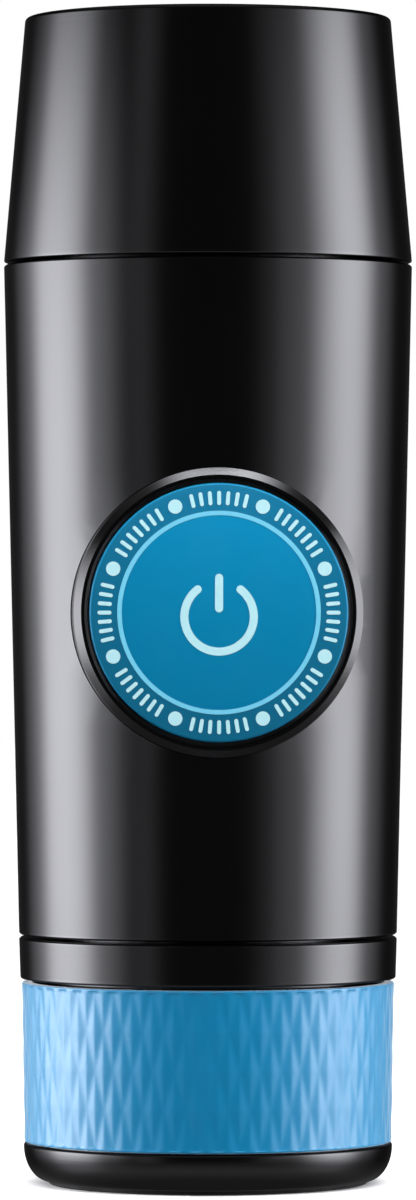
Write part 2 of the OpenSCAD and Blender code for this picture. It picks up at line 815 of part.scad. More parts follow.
module housing_screws() {
    length = floor_front - carrier_plate_back - 0.2;
    color(steel) on_button() at_legs() screw(floor_front, length, screw_hole_r - shaft_gap);
}

module board_screws() {
    length = board_front - carrier_plate_back - 0.2;
    color(steel) on_button() at_board_bosses() screw(board_front, length, screw_hole_r - shaft_gap);
}

// Batteries and chassis

module battery_cells() {
    color(cell_wrap) for (s = [-1, 1]) {
        post(s * cell_x, cell_y, cell_z0, cell_z1, cell_r);
    }
}

module battery_strap() {
    length = 2 * cell_x + 8;
    color(steel) translate([-length / 2, cell_y - strap_w / 2, cell_z1]) cube([length, strap_w, strap_t]);
}

module at_jacket_screws() {
    for (i = [0:3]) rotate([0, 0, 45 + 90 * i]) translate([jacket_screw_circle, 0, 0]) children();
}

module top_plate() {
    color(moulded_white) difference() {
        union() {
            translate([0, 0, plate_z0]) cylinder(r = plate_r, h = plate_t);
            cell_saddles(plate_z0 - saddle_h, plate_z0 + 0.5);
            for (s = [-1, 1]) post(s * hang_x, hang_y, charge_board_z1, plate_z0 + 0.5, hang_r);
        }
        post(port_x, mesh_y, plate_z0 - 1, plate_z1 + 1, barb_r + 0.2);
        post(0, 0, plate_z0 - 1, plate_z1 + 1, 6.5);
        post(wire_x(3), heater_wire_y, plate_z0 - 1, plate_z1 + 1, 1.6);
        for (s = [-1, 1]) {
            post(s * spacer_x, spacer_y, plate_z0 - 1, plate_z1 + 1, screw_hole_r);
            post(s * spacer_x, spacer_y, tie_head_z, plate_z1 + 1, screw_head_r + fit_gap);
        }
        translate([-cell_x, cell_y - strap_w / 2 - fit_gap, plate_z0 - saddle_h - 1])
            cube([2 * cell_x, strap_w + 2 * fit_gap, saddle_h + 1]);
        at_jacket_screws() post(0, 0, plate_z0 - 1, plate_z1 + 1, screw_hole_r);
    }
}

module spacers() {
    color(steel) for (s = [-1, 1])
        translate([s * spacer_x, spacer_y, 0]) ring(spacer_r, screw_hole_r, deck_z, plate_z0);
}

module tie_screws() {
    color(steel) for (s = [-1, 1]) translate([s * spacer_x, spacer_y, 0])
        screw(tie_head_z, tie_head_z - deck_z + 5, screw_hole_r - shaft_gap);
}

// Pump and motor

// Outline that the port plate, the pump body and the cover share
module pump_block(z0, z1) {
    for (y = [motor_y, idler_y]) post(0, y, z0, z1, pump_r);
    translate([-pump_r, idler_y, z0]) cube([2 * pump_r, gear_centres, z1 - z0]);
    for (s = [-1, 1]) {
        post(s * port_x, mesh_y, z0, z1, lobe_r);
        translate([min(0, s * port_x), mesh_y - lobe_r, z0]) cube([port_x, 2 * lobe_r, z1 - z0]);
        for (y = [motor_y + ear_y, idler_y - ear_y]) post(s * ear_x, y, z0, z1, ear_r);
    }
}

module pump_screw_holes(z0, z1) {
    for (s = [-1, 1], y = [motor_y + ear_y, idler_y - ear_y])
        post(s * ear_x, y, z0, z1, pump_screw_r + shaft_gap);
}

module pump_port_plate() {
    color(steel) difference() {
        pump_block(deck_z, pump_z0);
        pump_screw_holes(deck_z - 1, pump_z0 + 1);
        for (y = [motor_y, idler_y]) post(0, y, deck_z + 0.5, pump_z0 + 1, shaft_r + shaft_gap);
        post(-port_x + lobe_r, mesh_y, deck_z - 1, pump_z0 + 1, passage_r);
    }
}

module pump_body() {
    color(moulded_black) difference() {
        pump_block(pump_z0, pump_z1);
        pump_screw_holes(pump_z0 - 1, pump_z1 + 1);
        for (y = [motor_y, idler_y]) post(0, y, pump_z0 - 1, pump_z1 + 1, chamber_r);
        for (s = [-1, 1]) translate([0, mesh_y, passage_z]) rotate([0, s * 90, 0])
            cylinder(r = passage_r, h = port_x);
        post(port_x, mesh_y, passage_z, pump_z1 + 1, barb_bore_r);
        post(-port_x, mesh_y, passage_z, relief_seat_z + 1, passage_r - 0.2);
        post(-port_x, mesh_y, relief_seat_z, pump_z1 + 1, relief_bore_r);
        post(-port_x + lobe_r, mesh_y, pump_z0 - 1, passage_z, passage_r);
    }
}

module pump_cover() {
    collar_r = motor_r + fit_gap;
    rim_z = pump_z1 + cover_t / 2;
    color(steel) difference() {
        union() {
            pump_block(pump_z1, motor_z0);
            translate([0, motor_y, 0]) {
                ring(collar_r + collar_wall, collar_r, rim_z, motor_z0 + collar_h);
                ring(collar_r + collar_wall, motor_r - 4, rim_z, motor_z0);
            }
            post(port_x, mesh_y, motor_z0 - 1, motor_z0 + barb_length, barb_r);
        }
        post(0, motor_y, pump_z1 - 1, motor_z0 + 1, shaft_r + shaft_gap);
        post(0, idler_y, pump_z1 - 1, motor_z0 - 0.5, shaft_r + shaft_gap);
        post(port_x, mesh_y, pump_z1 - 1, motor_z0 + barb_length + 1, barb_bore_r);
        post(-port_x, mesh_y, pump_z1 - 1, motor_z0 + 1, relief_bore_r);
        for (s = [-1, 1], y = [motor_y + ear_y, idler_y - ear_y]) {
            post(s * ear_x, y, pump_z1 - 1, motor_z0 + 1, pump_screw_r + shaft_gap);
            post(s * ear_x, y, motor_z0 - screw_head_t, motor_z0 + 1, pump_screw_head_r + 0.1);
        }
    }
}

module pump_screws() {
    head_z = motor_z0 - screw_head_t;
    color(steel) for (s = [-1, 1], y = [motor_y + ear_y, idler_y - ear_y])
        translate([s * ear_x, y, 0])
            screw(head_z, head_z - deck_z + 4, pump_screw_r, pump_screw_head_r, screw_head_t - 0.1);
}

// Involute of a base circle, at a given roll angle
function involute(rb, roll) =
    let (arc_length = roll * PI / 180)
    rb * [cos(roll) + arc_length * sin(roll), sin(roll) - arc_length * cos(roll)];
function roll_at(rb, r) = r <= rb ? 0 : sqrt(pow(r / rb, 2) - 1) * 180 / PI;
function turn(p, a) = [p[0] * cos(a) - p[1] * sin(a), p[0] * sin(a) + p[1] * cos(a)];
function flip(p) = [p[0], -p[1]];

// Outline of a spur gear with a tooth on +X
function gear_outline() =
    let (pitch_r = gear_centres / 2,
         rb = pitch_r * cos(gear_pressure_angle),
         at_pitch = involute(rb, roll_at(rb, pitch_r)),
         half = (PI * gear_module / 2 - gear_backlash) / 2 / pitch_r * 180 / PI,
         lead_in = -half - atan2(at_pitch[1], at_pitch[0]),
         rolls = [for (i = [0:4]) roll_at(rb, gear_tip_r) * i / 4],
         flank = concat([turn([gear_root_r, 0], lead_in)], [for (a = rolls) turn(involute(rb, a), lead_in)]),
         back = [for (i = [len(flank) - 1:-1:0]) flip(flank[i])],
         tooth = concat(flank, back))
    [for (k = [0:gear_teeth - 1], p = tooth) turn(p, 360 * k / gear_teeth)];

module pump_gear(y, phase) {
    translate([0, y, pump_z0 + gear_end_gap]) difference() {
        rotate([0, 0, phase]) linear_extrude(height = gear_length) polygon(gear_outline());
        translate([0, 0, -1]) cylinder(r = shaft_r + 0.02, h = gear_length + 2);
    }
}

module drive_gear() {
    color(steel) pump_gear(motor_y, -90);
}

module idler_gear() {
    color(steel) pump_gear(idler_y, 90 + 180 / gear_teeth);
}

module drive_shaft() {
    color(steel) post(0, motor_y, deck_z + 0.8, motor_z1 + endcap_t + 1, shaft_r);
}

module idler_shaft() {
    color(steel) post(0, idler_y, deck_z + 0.8, motor_z0 - 0.8, shaft_r);
}

module motor_can() {
    color(steel) translate([0, motor_y, 0]) {
        ring(motor_r, motor_r - motor_wall, motor_z0, motor_z1);
        ring(motor_r - motor_wall / 2, shaft_r + shaft_gap, motor_z0, motor_z0 + motor_wall);
    }
}

module motor_endcap() {
    color(moulded_white) translate([0, motor_y, 0]) {
        ring(motor_r, shaft_r + shaft_gap, motor_z1, motor_z1 + endcap_t);
        for (s = [-1, 1])
            translate([s * motor_tab_x - motor_tab_t / 2, -motor_tab_y, motor_z1 + endcap_t - 0.5])
                cube([motor_tab_t, motor_tab_w, motor_tab_h]);
    }
}

module motor_magnets() {
    inner = motor_r - motor_wall - magnet_t;
    color(moulded_black) translate([0, motor_y, rotor_z0]) for (a = [-60, 120])
        rotate([0, 0, a]) rotate_extrude(angle = 120)
            translate([inner, 0]) square([magnet_t - 0.05, rotor_length]);
}

module motor_rotor() {
    rotor_r = motor_r - motor_wall - magnet_t - move_gap;
    color(copper) translate([0, motor_y, 0]) difference() {
        union() {
            translate([0, 0, rotor_z0]) cylinder(r = rotor_r, h = rotor_length);
            post(0, 0, rotor_z0 + rotor_length - 0.5, rotor_z0 + rotor_length + commutator_h,
                 shaft_r + commutator_wall);
        }
        post(0, 0, motor_z0, motor_z1 + 1, shaft_r + 0.02);
        for (i = [0:rotor_slots - 1]) rotate([0, 0, 360 * i / rotor_slots])
            translate([rotor_r - rotor_slot_depth, -rotor_slot_w / 2, rotor_z0 - 1])
                cube([rotor_slot_depth + 1, rotor_slot_w, rotor_length + 2]);
    }
}

module relief_poppet() {
    color(steel) translate([-port_x, mesh_y, 0]) {
        post(0, 0, relief_seat_z, relief_seat_z + relief_poppet_h, relief_bore_r - shaft_gap);
        post(0, 0, relief_seat_z, relief_seat_z + relief_poppet_h + 1, 0.8);
    }
}

module relief_spring() {
    spring_wire_r = 0.22;
    spring_r = 1.6;
    turns = 4;
    z0 = relief_seat_z + relief_poppet_h + spring_wire_r;
    z1 = pump_z1 - spring_wire_r;
    color(steel) translate([-port_x, mesh_y, 0])
        wire(helix(spring_r, z0, z1, turns), spring_wire_r, spring_sides);
}

module relief_cap() {
    color(steel) translate([-port_x, mesh_y, 0]) {
        post(0, 0, pump_z1, motor_z0 + 0.1, relief_bore_r - fit_gap);
        translate([0, 0, motor_z0]) cylinder(r = lobe_r - 0.4, h = 2, $fn = 6);
    }
}

module inlet_hose() {
    color(silicone_grey) translate([port_x, mesh_y, 0])
        ring(hose_bore_r + hose_wall, hose_bore_r, motor_z0 + 0.1, plate_z0 - 0.3);
}

// Wires from the board's connector to the heater, the motor, the charging board and the batteries
heater_wire_y = -8.5;
function wire_x(k) = k * 2.4 - 2.4;
function wire_start(k) = [wire_x(k), wire_gap - connector_back, wire_z];

module wiring_loom() {
    routes = [
        [wire_start(3), wire_start(3) + [0, 2.2, 0.4], [wire_x(3), heater_wire_y, wire_z + 4],
         [wire_x(3), heater_wire_y, wire_z + 10], [wire_x(3), heater_wire_y, plate_z0 - 9],
         [wire_x(3), heater_wire_y, plate_z0 - 3],
         [wire_x(3), heater_wire_y, plate_z1 + heater_gap - wire_gap]],
        [wire_start(1), wire_start(1) + [0, 2.3, 0.6], [-1, -6, wire_z + 2.7], [-2, -1, motor_z1 + 1.5],
         [-4, 4, motor_z1 + 4],
         [-motor_tab_x, motor_y - motor_tab_y - 2 * wire_gap, motor_z1 + endcap_t + 1]],
        [wire_start(2), wire_start(2) + [0, 2.3, 0.5], [2, -6, wire_z + 3.7], [1, -2, wire_z + 8],
         [0.4, 4, charge_board_z1 - 1.4], [0, 9, charge_board_z1 - charge_board_t / 2],
         [0, charge_board_y0 - wire_gap, charge_board_z1 - charge_board_t / 2]],
        [wire_start(0), wire_start(0) + [-0.2, 2.4, 0.5], [-3.6, -7, wire_z + 4.2], [-5, -5, wire_z + 10],
         [-6.5, cell_y - 2, cell_z1 - 9], [-7, cell_y - 0.3, cell_z1 - 4], [-7, cell_y, cell_z1 - wire_gap]]
    ];
    color(copper) for (r = routes) wire(smooth(r), wire_r, wire_sides, [1, 0.01, 0.02]);
}

// Tank, heater and jacket

module tank_jacket() {
    color(satin_black) {
        difference() {
            spin([[jacket_ring_r, plate_z1], [jacket_r, plate_z1], [jacket_r, body_z1 - jacket_flange_h],
                  [jacket_flange_r, body_z1 - jacket_flange_h], [jacket_flange_r, body_z1],
                  [tank_neck_r, body_z1], [tank_neck_r, neck_top_z], [tank_neck_bore_r, neck_top_z],
                  [tank_neck_bore_r, body_z1 - 2], [jacket_bore_r, body_z1 - 2],
                  [jacket_bore_r, plate_z1 + jacket_ring_t],
                  [jacket_ring_r, plate_z1 + jacket_ring_t]]);
            at_jacket_screws() post(0, 0, plate_z1 - 1, plate_z1 + jacket_ring_t + 1, screw_hole_r);
        }
        thread(tank_neck_r, tank_neck_r + thread_depth, cap_thread_z + thread_pitch / 2);
    }
}

module jacket_screws() {
    color(steel) at_jacket_screws() mirror([0, 0, 1])
        screw(0.05 - plate_z0, plate_t + jacket_ring_t, screw_hole_r - shaft_gap);
}

module tank_insulation() {
    color(moulded_white)
        ring(jacket_bore_r - 0.1, tank_outer_r + 0.1, plate_z1 + jacket_ring_t + 0.1, body_z1 - 2.1);
}

module water_tank() {
    flange_z = neck_top_z + tank_seal_t;
    color(steel) difference() {
        spin([[0, tank_z0], [tank_outer_r, tank_z0], [tank_outer_r, flange_z], [tank_flange_r, flange_z],
              [tank_flange_r, flange_z + tank_sheet], [tank_r, flange_z + tank_sheet],
              [tank_r, tank_z0 + tank_sheet], [0, tank_z0 + tank_sheet]]);
        post(port_x, mesh_y, tank_z0 - 1, tank_z0 + 2, barb_r + 0.05);
    }
}

module tank_seal() {
    color(silicone_grey) ring(tank_flange_r, tank_outer_r + 0.05, neck_top_z, neck_top_z + tank_seal_t);
}

module tank_outlet() {
    color(steel) translate([port_x, mesh_y, 0]) {
        ring(barb_r, barb_bore_r, plate_z0 - barb_length, tank_z0 + tank_sheet);
        ring(barb_r + 1, barb_bore_r, tank_z0 + tank_sheet, tank_z0 + tank_sheet + 0.5);
    }
}

module heater_plate() {
    color(silicone_grey) difference() {
        translate([0, 0, plate_z1 + heater_gap]) cylinder(r = heater_r, h = heater_t);
        post(port_x, mesh_y, plate_z1, tank_z0, barb_r + 0.2);
    }
}

module thermostat() {
    color(moulded_black) {
        post(0, 0, plate_z0 + 0.3, plate_z1 + heater_gap, 4.5);
        post(0, 0, plate_z1 + heater_gap - 0.8, plate_z1 + heater_gap, 5.8);
    }
}

// Charging socket

module charge_board() {
    color(board_green) translate([-charge_board_w / 2, charge_board_y0, charge_board_z1 - charge_board_t])
        cube([charge_board_w, charge_board_l, charge_board_t]);
}

module charge_socket() {
    tongue_w = 6.6;
    tongue_t = 0.7;
    color(steel) translate([0, socket_front - socket_depth, port_z]) rotate([-90, 0, 0]) {
        difference() {
            stadium(socket_w, socket_h, socket_depth);
            translate([0, 0, 1])
                stadium(socket_w - 2 * socket_wall, socket_h - 2 * socket_wall, socket_depth);
        }
        translate([-tongue_w / 2, -tongue_t / 2, 0.5]) cube([tongue_w, tongue_t, socket_depth - 1.5]);
    }
}

// Cap

module top_cap() {
    inner_top = top_z - cap_top_t;
    color(satin_black) spin(concat(
        [[seam_r - cap_wall, cap_z0], [seam_r - seam_bevel, cap_z0],
         [cap_r(cap_z0 + seam_bevel), cap_z0 + seam_bevel]],
        arc(cap_top_r - cap_edge_r, top_z - cap_edge_r, cap_edge_r, 4, 90, 12),
        [[0, top_z], [0, inner_top], [cap_r(inner_top) - cap_wall, inner_top]]));
}

module cap_liner() {
    flange_top = liner_flange_z + liner_flange_t;
    disc_top = liner_disc_z + liner_disc_t;
    color(moulded_black) {
        difference() {
            spin([[cap_socket_r, liner_flange_z], [liner_flange_r, liner_flange_z],
                  [liner_flange_r, flange_top], [liner_r, flange_top], [liner_r, disc_top], [0, disc_top],
                  [0, liner_disc_z],
                  [cap_socket_r, liner_disc_z]]);
            post(0, 0, liner_disc_z - 1, liner_disc_z + liner_disc_t + 1, 1.6);
        }
        thread(cap_socket_r, cap_socket_r - thread_depth, cap_thread_z);
    }
}

module cap_gasket() {
    color(silicone_grey) ring(tank_flange_r, gasket_inner_r, tank_top_z + 0.1, liner_disc_z);
}

module cap_vent() {
    color(silicone_grey) {
        post(0, 0, liner_disc_z - 0.9, liner_disc_z, 4);
        post(0, 0, liner_disc_z - 0.5, liner_disc_z + liner_disc_t + 0.1, 1.55);
        post(0, 0, liner_disc_z + liner_disc_t, liner_disc_z + liner_disc_t + 1, 2.3);
    }
}

cup_shell();
cup_sleeve();
cup_foot();
basket_holder();
filter_basket();
cup_seal();
group_head();
group_seal();
shower_screen();
shower_screw();
body_shell();
button_housing();
button_cap();
button_carrier();
button_spring();
button_seal();
switch_body();
switch_stem();
control_board();
board_carrier();
housing_screws();
board_screws();
battery_cells();
battery_strap();
top_plate();
spacers();
tie_screws();
pump_port_plate();
pump_body();
pump_cover();
pump_screws();
drive_gear();
idler_gear();
drive_shaft();
idler_shaft();
motor_can();
motor_endcap();
motor_magnets();
motor_rotor();
relief_poppet();
relief_spring();
relief_cap();
inlet_hose();
wiring_loom();
tank_jacket();
jacket_screws();
tank_insulation();
water_tank();
tank_seal();
tank_outlet();
heater_plate();
thermostat();
charge_board();
charge_socket();
port_cover();
top_cap();
cap_liner();
cap_gasket();
cap_vent();
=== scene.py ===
"""Looks of the portable electric espresso maker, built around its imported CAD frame.

Lengths of the object are millimetres, as in the part's source, and turn into metres as a mesh is made.
Camera, floor and lights are placed in metres. The button faces -Y and the cup stands on z = 0.
"""

import math

import bmesh
import bpy
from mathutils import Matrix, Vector


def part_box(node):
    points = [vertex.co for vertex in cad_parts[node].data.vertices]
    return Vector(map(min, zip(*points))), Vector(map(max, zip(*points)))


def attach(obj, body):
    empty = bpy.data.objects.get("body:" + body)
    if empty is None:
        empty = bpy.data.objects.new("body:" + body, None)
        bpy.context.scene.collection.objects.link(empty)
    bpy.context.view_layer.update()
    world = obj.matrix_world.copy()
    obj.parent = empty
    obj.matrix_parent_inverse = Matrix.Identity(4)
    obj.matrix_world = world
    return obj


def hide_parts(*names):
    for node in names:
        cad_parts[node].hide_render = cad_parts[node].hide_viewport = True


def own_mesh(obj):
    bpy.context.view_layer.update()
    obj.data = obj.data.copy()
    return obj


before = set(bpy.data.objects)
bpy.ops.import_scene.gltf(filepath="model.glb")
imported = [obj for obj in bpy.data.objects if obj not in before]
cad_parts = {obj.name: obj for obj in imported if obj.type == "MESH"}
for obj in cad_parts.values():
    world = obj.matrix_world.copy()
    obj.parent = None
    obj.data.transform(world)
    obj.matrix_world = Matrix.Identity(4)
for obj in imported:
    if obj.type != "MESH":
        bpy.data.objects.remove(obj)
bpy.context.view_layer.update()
scene = bpy.context.scene

MM = 0.001
MICRON = 0.000001
TURN = 2 * math.pi
ROUND = 192  # facets round a turned piece
SHARP_ANGLE = math.radians(32)  # edges sharper than this keep a hard line
MERGE_D = 1e-7  # points nearer than this, in metres, are one


def span(node):
    """Outside radius, lowest and highest height of a CAD node that is turned about Z."""
    low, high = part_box(node)
    return high.x / MM, low.z / MM, high.z / MM


# Outer form: what the frame's boxes tell, and the rest from the part's source
BASE_R, _, CUP_RIM_Z = span("cup_shell")
SLEEVE_HIGH_R, SLEEVE_Z0, SLEEVE_Z1 = span("cup_sleeve")
SLEEVE_LOW_R, SLEEVE_SEAT_R = 31.5, 30.2
SLEEVE_GAP = 0.2  # joint line below the sleeve
BASE_H, BASE_EDGE_R = SLEEVE_Z0 - SLEEVE_GAP, 0.5
BASE_CORNER_W, BASE_CORNER_H = 4.2, 6.0  # the lower rounding is taller than it is wide
BASE_CORNER_END = -72  # tilt, in degrees, at which it ends in the foot's ledge
CUP_MOUTH_R, CUP_WALL_Z = 28.3, 24.1
CUP_FLOOR_R, CUP_FLOOR_Z, CUP_BOWL_R = 22.0, 4.5, 4.0
FOOT_R, _, FOOT_T = span("cup_foot")
FOOT_GAP, FOOT_EDGE_R = 0.15, 0.35
FOOT_GROOVES = (7, 12, 17, 22)  # radii of the rings moulded in the pad
GROOVE_DEPTH, GROOVE_HALF, GROOVE_SLOPE = 0.35, 0.7, 0.25
_, BODY_Z0, BODY_Z1 = span("body_shell")
_, CAP_Z0, TOP_Z = span("top_cap")
SEAM_R, CAP_TOP_R, CAP_EDGE_R = 35.0, 31.4, 0.8
CAP_WALL, CAP_TOP_T, CAP_INNER_CHAMFER = 2.0, 2.4, 1.0
RIM_START = 20  # tilt of the rounded top edge, in degrees, at which the cap's rim begins
TOP_DISC_R, TOP_DISC_EDGE_R = 28.6, 0.25
TOP_GROOVE_W, TOP_BORE_EDGE = 0.3, 0.1
SEAM_GAP, SEAM_EDGE_R = CAP_Z0 - BODY_Z1, 0.3
# Heights of the edges beside the joint lines
SEAM_EDGES = (CUP_RIM_Z + SEAM_GAP, BODY_Z0 - SEAM_GAP, BODY_Z0, BODY_Z1, CAP_Z0)

button_low, button_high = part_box("button_cap")
BUTTON_R, BUTTON_Z = button_high.x / MM, (button_low.z + button_high.z) / 2 / MM
BUTTON_FRONT, BUTTON_SKIRT = -button_low.y / MM, -button_high.y / MM
BUTTON_T, BUTTON_SKIRT_WALL, BUTTON_EDGE_R = 2.4, 1.5, 0.4

# Marks on the button's face: a ring line, eight dots with ticks between them, and an on-off symbol
PRINT_T, PRINT_SINK = 0.06, 0.02  # how far the ink stands above the face, and how far it reaches in
RING_R, RING_W = 16.6, 0.75
DOTS, DOT_R, MARK_R = 8, 1.2, 19.1
TICKS, TICK_STEP = 7, 4.5  # ticks between two dots, and degrees from one to the next
TICK_LENGTH, TICK_W = 1.7, 0.65
ICON_R, ICON_W, ICON_DROP = 5.8, 1.35, 0.7
ICON_GAP = 38  # degrees that the symbol's arc leaves open on each side of its stem


# Mesh helpers


def arc(cx, cy, r, a0, a1, steps, height=None):
    """Points of an arc from angle a0 to a1 in degrees, oval where a height is given."""
    angles = [math.radians(a0 + (a1 - a0) * i / steps) for i in range(steps + 1)]
    return [(cx + r * math.cos(a), cy + (height or r) * math.sin(a)) for a in angles]


def upright(r, h, a):
    """A point of a piece turned about Z."""
    return Vector((r * math.cos(a), r * math.sin(a), h)) * MM


def on_button(r, h, a):
    """A point of a piece turned about the button's axis, h in front of the body's axis."""
    return Vector((r * math.cos(a), -h, BUTTON_Z + r * math.sin(a))) * MM


def add_piece(name, mesh, body, slot, replaced=(), material=None):
    """Puts a finished mesh in the scene, on its CAD body, in its slot's finish unless another is given."""
    piece = bpy.data.objects.new(name, mesh)
    scene.collection.objects.link(piece)
    mesh.materials.append(material or FINISHES[slot])
    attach(piece, body)
    if replaced:
        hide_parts(*replaced)
    return piece


def finish_mesh(name, build):
    """Turns a bmesh into a mesh with outward normals, smooth except at its sharp edges."""
    bmesh.ops.remove_doubles(build, verts=build.verts, dist=MERGE_D)
    bmesh.ops.recalc_face_normals(build, faces=build.faces)
    mesh = bpy.data.meshes.new(name)
    build.to_mesh(mesh)
    build.free()
    mesh.polygons.foreach_set("use_smooth", [True] * len(mesh.polygons))
    mesh.set_sharp_from_angle(angle=SHARP_ANGLE)
    return mesh


def join_rings(build, rings, closed):
    """Skins a stack of rings of points. A ring on the axis is one point, repeated."""
    pairs = list(zip(rings, rings[1:]))
    if closed:
        pairs.append((rings[-1], rings[0]))
    for low, high in pairs:
        for i in range(len(low)):
            k = (i + 1) % len(low)
            corners = list(dict.fromkeys((low[i], low[k], high[k], high[i])))
            if len(corners) > 2:
                build.faces.new(corners)


def turned(name, outline, place=upright, closed=False):
    """A solid from an outline of (radius, height) points: from the axis and back, or a closed loop."""
    build = bmesh.new()
    rings = []
    for r, h in outline:
        if r == 0:
            rings.append([build.verts.new(place(0, h, 0))] * ROUND)
        else:
            rings.append([build.verts.new(place(r, h, TURN * i / ROUND)) for i in range(ROUND)])
    join_rings(build, rings, closed)
    return finish_mesh(name, build)


# Material helpers


def set_stops(ramp, stops):
    """Gives a grey ramp its (share, level) stops."""
    ramp.elements.remove(ramp.elements[1])
    for i, (share, level) in enumerate(stops):
        stop = ramp.elements[0] if i == 0 else ramp.elements.new(share)
        stop.position = share
        stop.color = (level, level, level, 1)


class Finish:
    """A node material: a Principled shader, with the textures that vary it added one by one."""

    def __init__(self, name, color, roughness, metallic=0.0, **sockets):
        self.material = bpy.data.materials.new(name)
        self.material.use_nodes = True
        self.tree = self.material.node_tree
        self.shader = self.tree.nodes["Principled BSDF"]
        self.shader.inputs["Base Color"].default_value = (*color, 1)
        self.shader.inputs["Roughness"].default_value = roughness
        self.shader.inputs["Metallic"].default_value = metallic
        for socket, value in sockets.items():
            self.shader.inputs[socket.replace("_", " ")].default_value = value
        self.place = self.add("ShaderNodeTexCoord").outputs["Object"]
        self.normal = None

    def add(self, kind, **inputs):
        node = self.tree.nodes.new(kind)
        for key, value in inputs.items():
            node.inputs[key].default_value = value
        return node

    def link(self, out, into):
        self.tree.links.new(out, into)

    def noise(self, per_metre, detail=3.0, stretch=(1, 1, 1)):
        """Noise with about so many features to the metre, stretched along an axis by a factor under 1."""
        mapping = self.add("ShaderNodeMapping", Scale=stretch)
        self.link(self.place, mapping.inputs["Vector"])
        node = self.add("ShaderNodeTexNoise", Scale=per_metre, Detail=detail)
        self.link(mapping.outputs["Vector"], node.inputs["Vector"])
        return node.outputs["Fac"]

    def line_noise(self, value, per_metre):
        """Noise that changes only along a value in metres."""
        node = self.add("ShaderNodeTexNoise", Scale=per_metre, Detail=2)
        node.noise_dimensions = "1D"
        self.link(value, node.inputs["W"])
        return node.outputs["Fac"]

    def spread(self, value, low, high, start=0.3, end=0.7):
        """Maps a texture's value from start..end to low..high."""
        node = self.add("ShaderNodeMapRange")
        for key, number in (("From Min", start), ("From Max", end), ("To Min", low), ("To Max", high)):
            node.inputs[key].default_value = number
        self.link(value, node.inputs["Value"])
        return node.outputs["Result"]

    def vary_color(self, value, low, high):
        """Runs the colour from low to high with a value of 0 to 1."""
        node = self.add("ShaderNodeMix")
        node.data_type = "RGBA"
        low_in, high_in, result = node.inputs[6], node.inputs[7], node.outputs[2]
        low_in.default_value, high_in.default_value = (*low, 1), (*high, 1)
        self.link(value, node.inputs["Factor"])
        self.link(result, self.shader.inputs["Base Color"])

    def ramp(self, value, stops):
        """Runs through levels with a value of 0 to 1."""
        node = self.add("ShaderNodeValToRGB")
        set_stops(node.color_ramp, stops)
        self.link(value, node.inputs["Fac"])
        return node.outputs["Color"]

    def vary_roughness(self, value, low, high):
        self.link(self.spread(value, low, high), self.shader.inputs["Roughness"])

    def combine(self, first, share, second, rest):
        """Adds two values, each by its own share."""
        low = self.add("ShaderNodeMath")
        low.operation = "MULTIPLY"
        self.link(second, low.inputs[0])
        low.inputs[1].default_value = rest
        total = self.add("ShaderNodeMath")
        total.operation = "MULTIPLY_ADD"
        self.link(first, total.inputs[0])
        total.inputs[1].default_value = share
        self.link(low.outputs[0], total.inputs[2])
        return total.outputs[0]

    def near_heights(self, heights, reach):
        """A value of 1 at each height in millimetres, fading out within a reach."""
        top = heights[-1] + 2 * reach
        parts = self.add("ShaderNodeSeparateXYZ")
        self.link(self.place, parts.inputs["Vector"])
        stops = [(0, 0)]
        for height in heights:
            stops += [((height - reach) / top, 0), (height / top, 1), ((height + reach) / top, 0)]
        return self.ramp(self.spread(parts.outputs["Z"], 0, 1, 0, top * MM), stops)

    def away_from(self, z, along):
        """Distance from a height on the body's axis, measured only along the axes given as 1."""
        flat = self.add("ShaderNodeVectorMath")
        flat.operation = "MULTIPLY"
        flat.inputs[1].default_value = along
        self.link(self.place, flat.inputs[0])
        distance = self.add("ShaderNodeVectorMath")
        distance.operation = "DISTANCE"
        distance.inputs[1].default_value = Vector((0, 0, z)) * MM
        self.link(flat.outputs["Vector"], distance.inputs[0])
        return distance.outputs["Value"]

    def bump(self, value, microns, strength):
        """Adds relief of a depth. Several reliefs add up."""
        node = self.add("ShaderNodeBump", Strength=strength, Distance=microns * MICRON)
        self.link(value, node.inputs["Height"])
        if self.normal is not None:
            self.link(self.normal, node.inputs["Normal"])
        self.normal = node.outputs["Normal"]
        self.link(self.normal, self.shader.inputs["Normal"])


def satin_black():
    """Satin black shell: fine grain, faint turning marks, and edges that handling has polished a little.

    It mirrors about as much from the side as from the front, so its outline doesn't glare.
    """
    edge_tint = (0.5, 0.5, 0.5, 1)
    made = Finish("shell_black", (0.043, 0.043, 0.044), 0.2, metallic=1.0, Specular_Tint=edge_tint)
    worn = made.near_heights(SEAM_EDGES, reach=0.45)
    patches = made.noise(60, stretch=(1, 1, 0.4))
    tone = made.combine(worn, 0.85, made.noise(35), 0.15)
    made.vary_color(tone, (0.041, 0.041, 0.042), (0.06, 0.06, 0.062))
    made.vary_roughness(made.combine(worn, -0.25, patches, 1.0), 0.185, 0.215)
    made.bump(made.noise(6500), microns=12, strength=0.35)
    made.bump(made.noise(2500, detail=2, stretch=(0.02, 0.02, 1)), microns=14, strength=0.4)
    return made.material


def turned_black():
    """Satin black of the cap's top, with the fine rings that turning leaves."""
    made = Finish("turned_black", (0.002, 0.002, 0.0026), 0.32)
    rings = made.line_noise(made.away_from(0, (1, 1, 0)), 1800)
    made.vary_color(made.noise(40), (0.0016, 0.0016, 0.0022), (0.003, 0.003, 0.0036))
    made.vary_roughness(made.combine(rings, 0.5, made.noise(90), 0.5), 0.28, 0.36)
    made.bump(rings, microns=20, strength=0.5)
    made.bump(made.noise(6500), microns=12, strength=0.35)
    return made.material


def moulded_black():
    """Plain black moulding with a coarser matt grain."""
    made = Finish("moulded_black", (0.012, 0.012, 0.013), 0.55)
    made.vary_color(made.noise(60), (0.009, 0.009, 0.01), (0.016, 0.016, 0.017))
    made.vary_roughness(made.noise(150), 0.48, 0.62)
    made.bump(made.noise(3500), microns=20, strength=0.4)
    return made.material


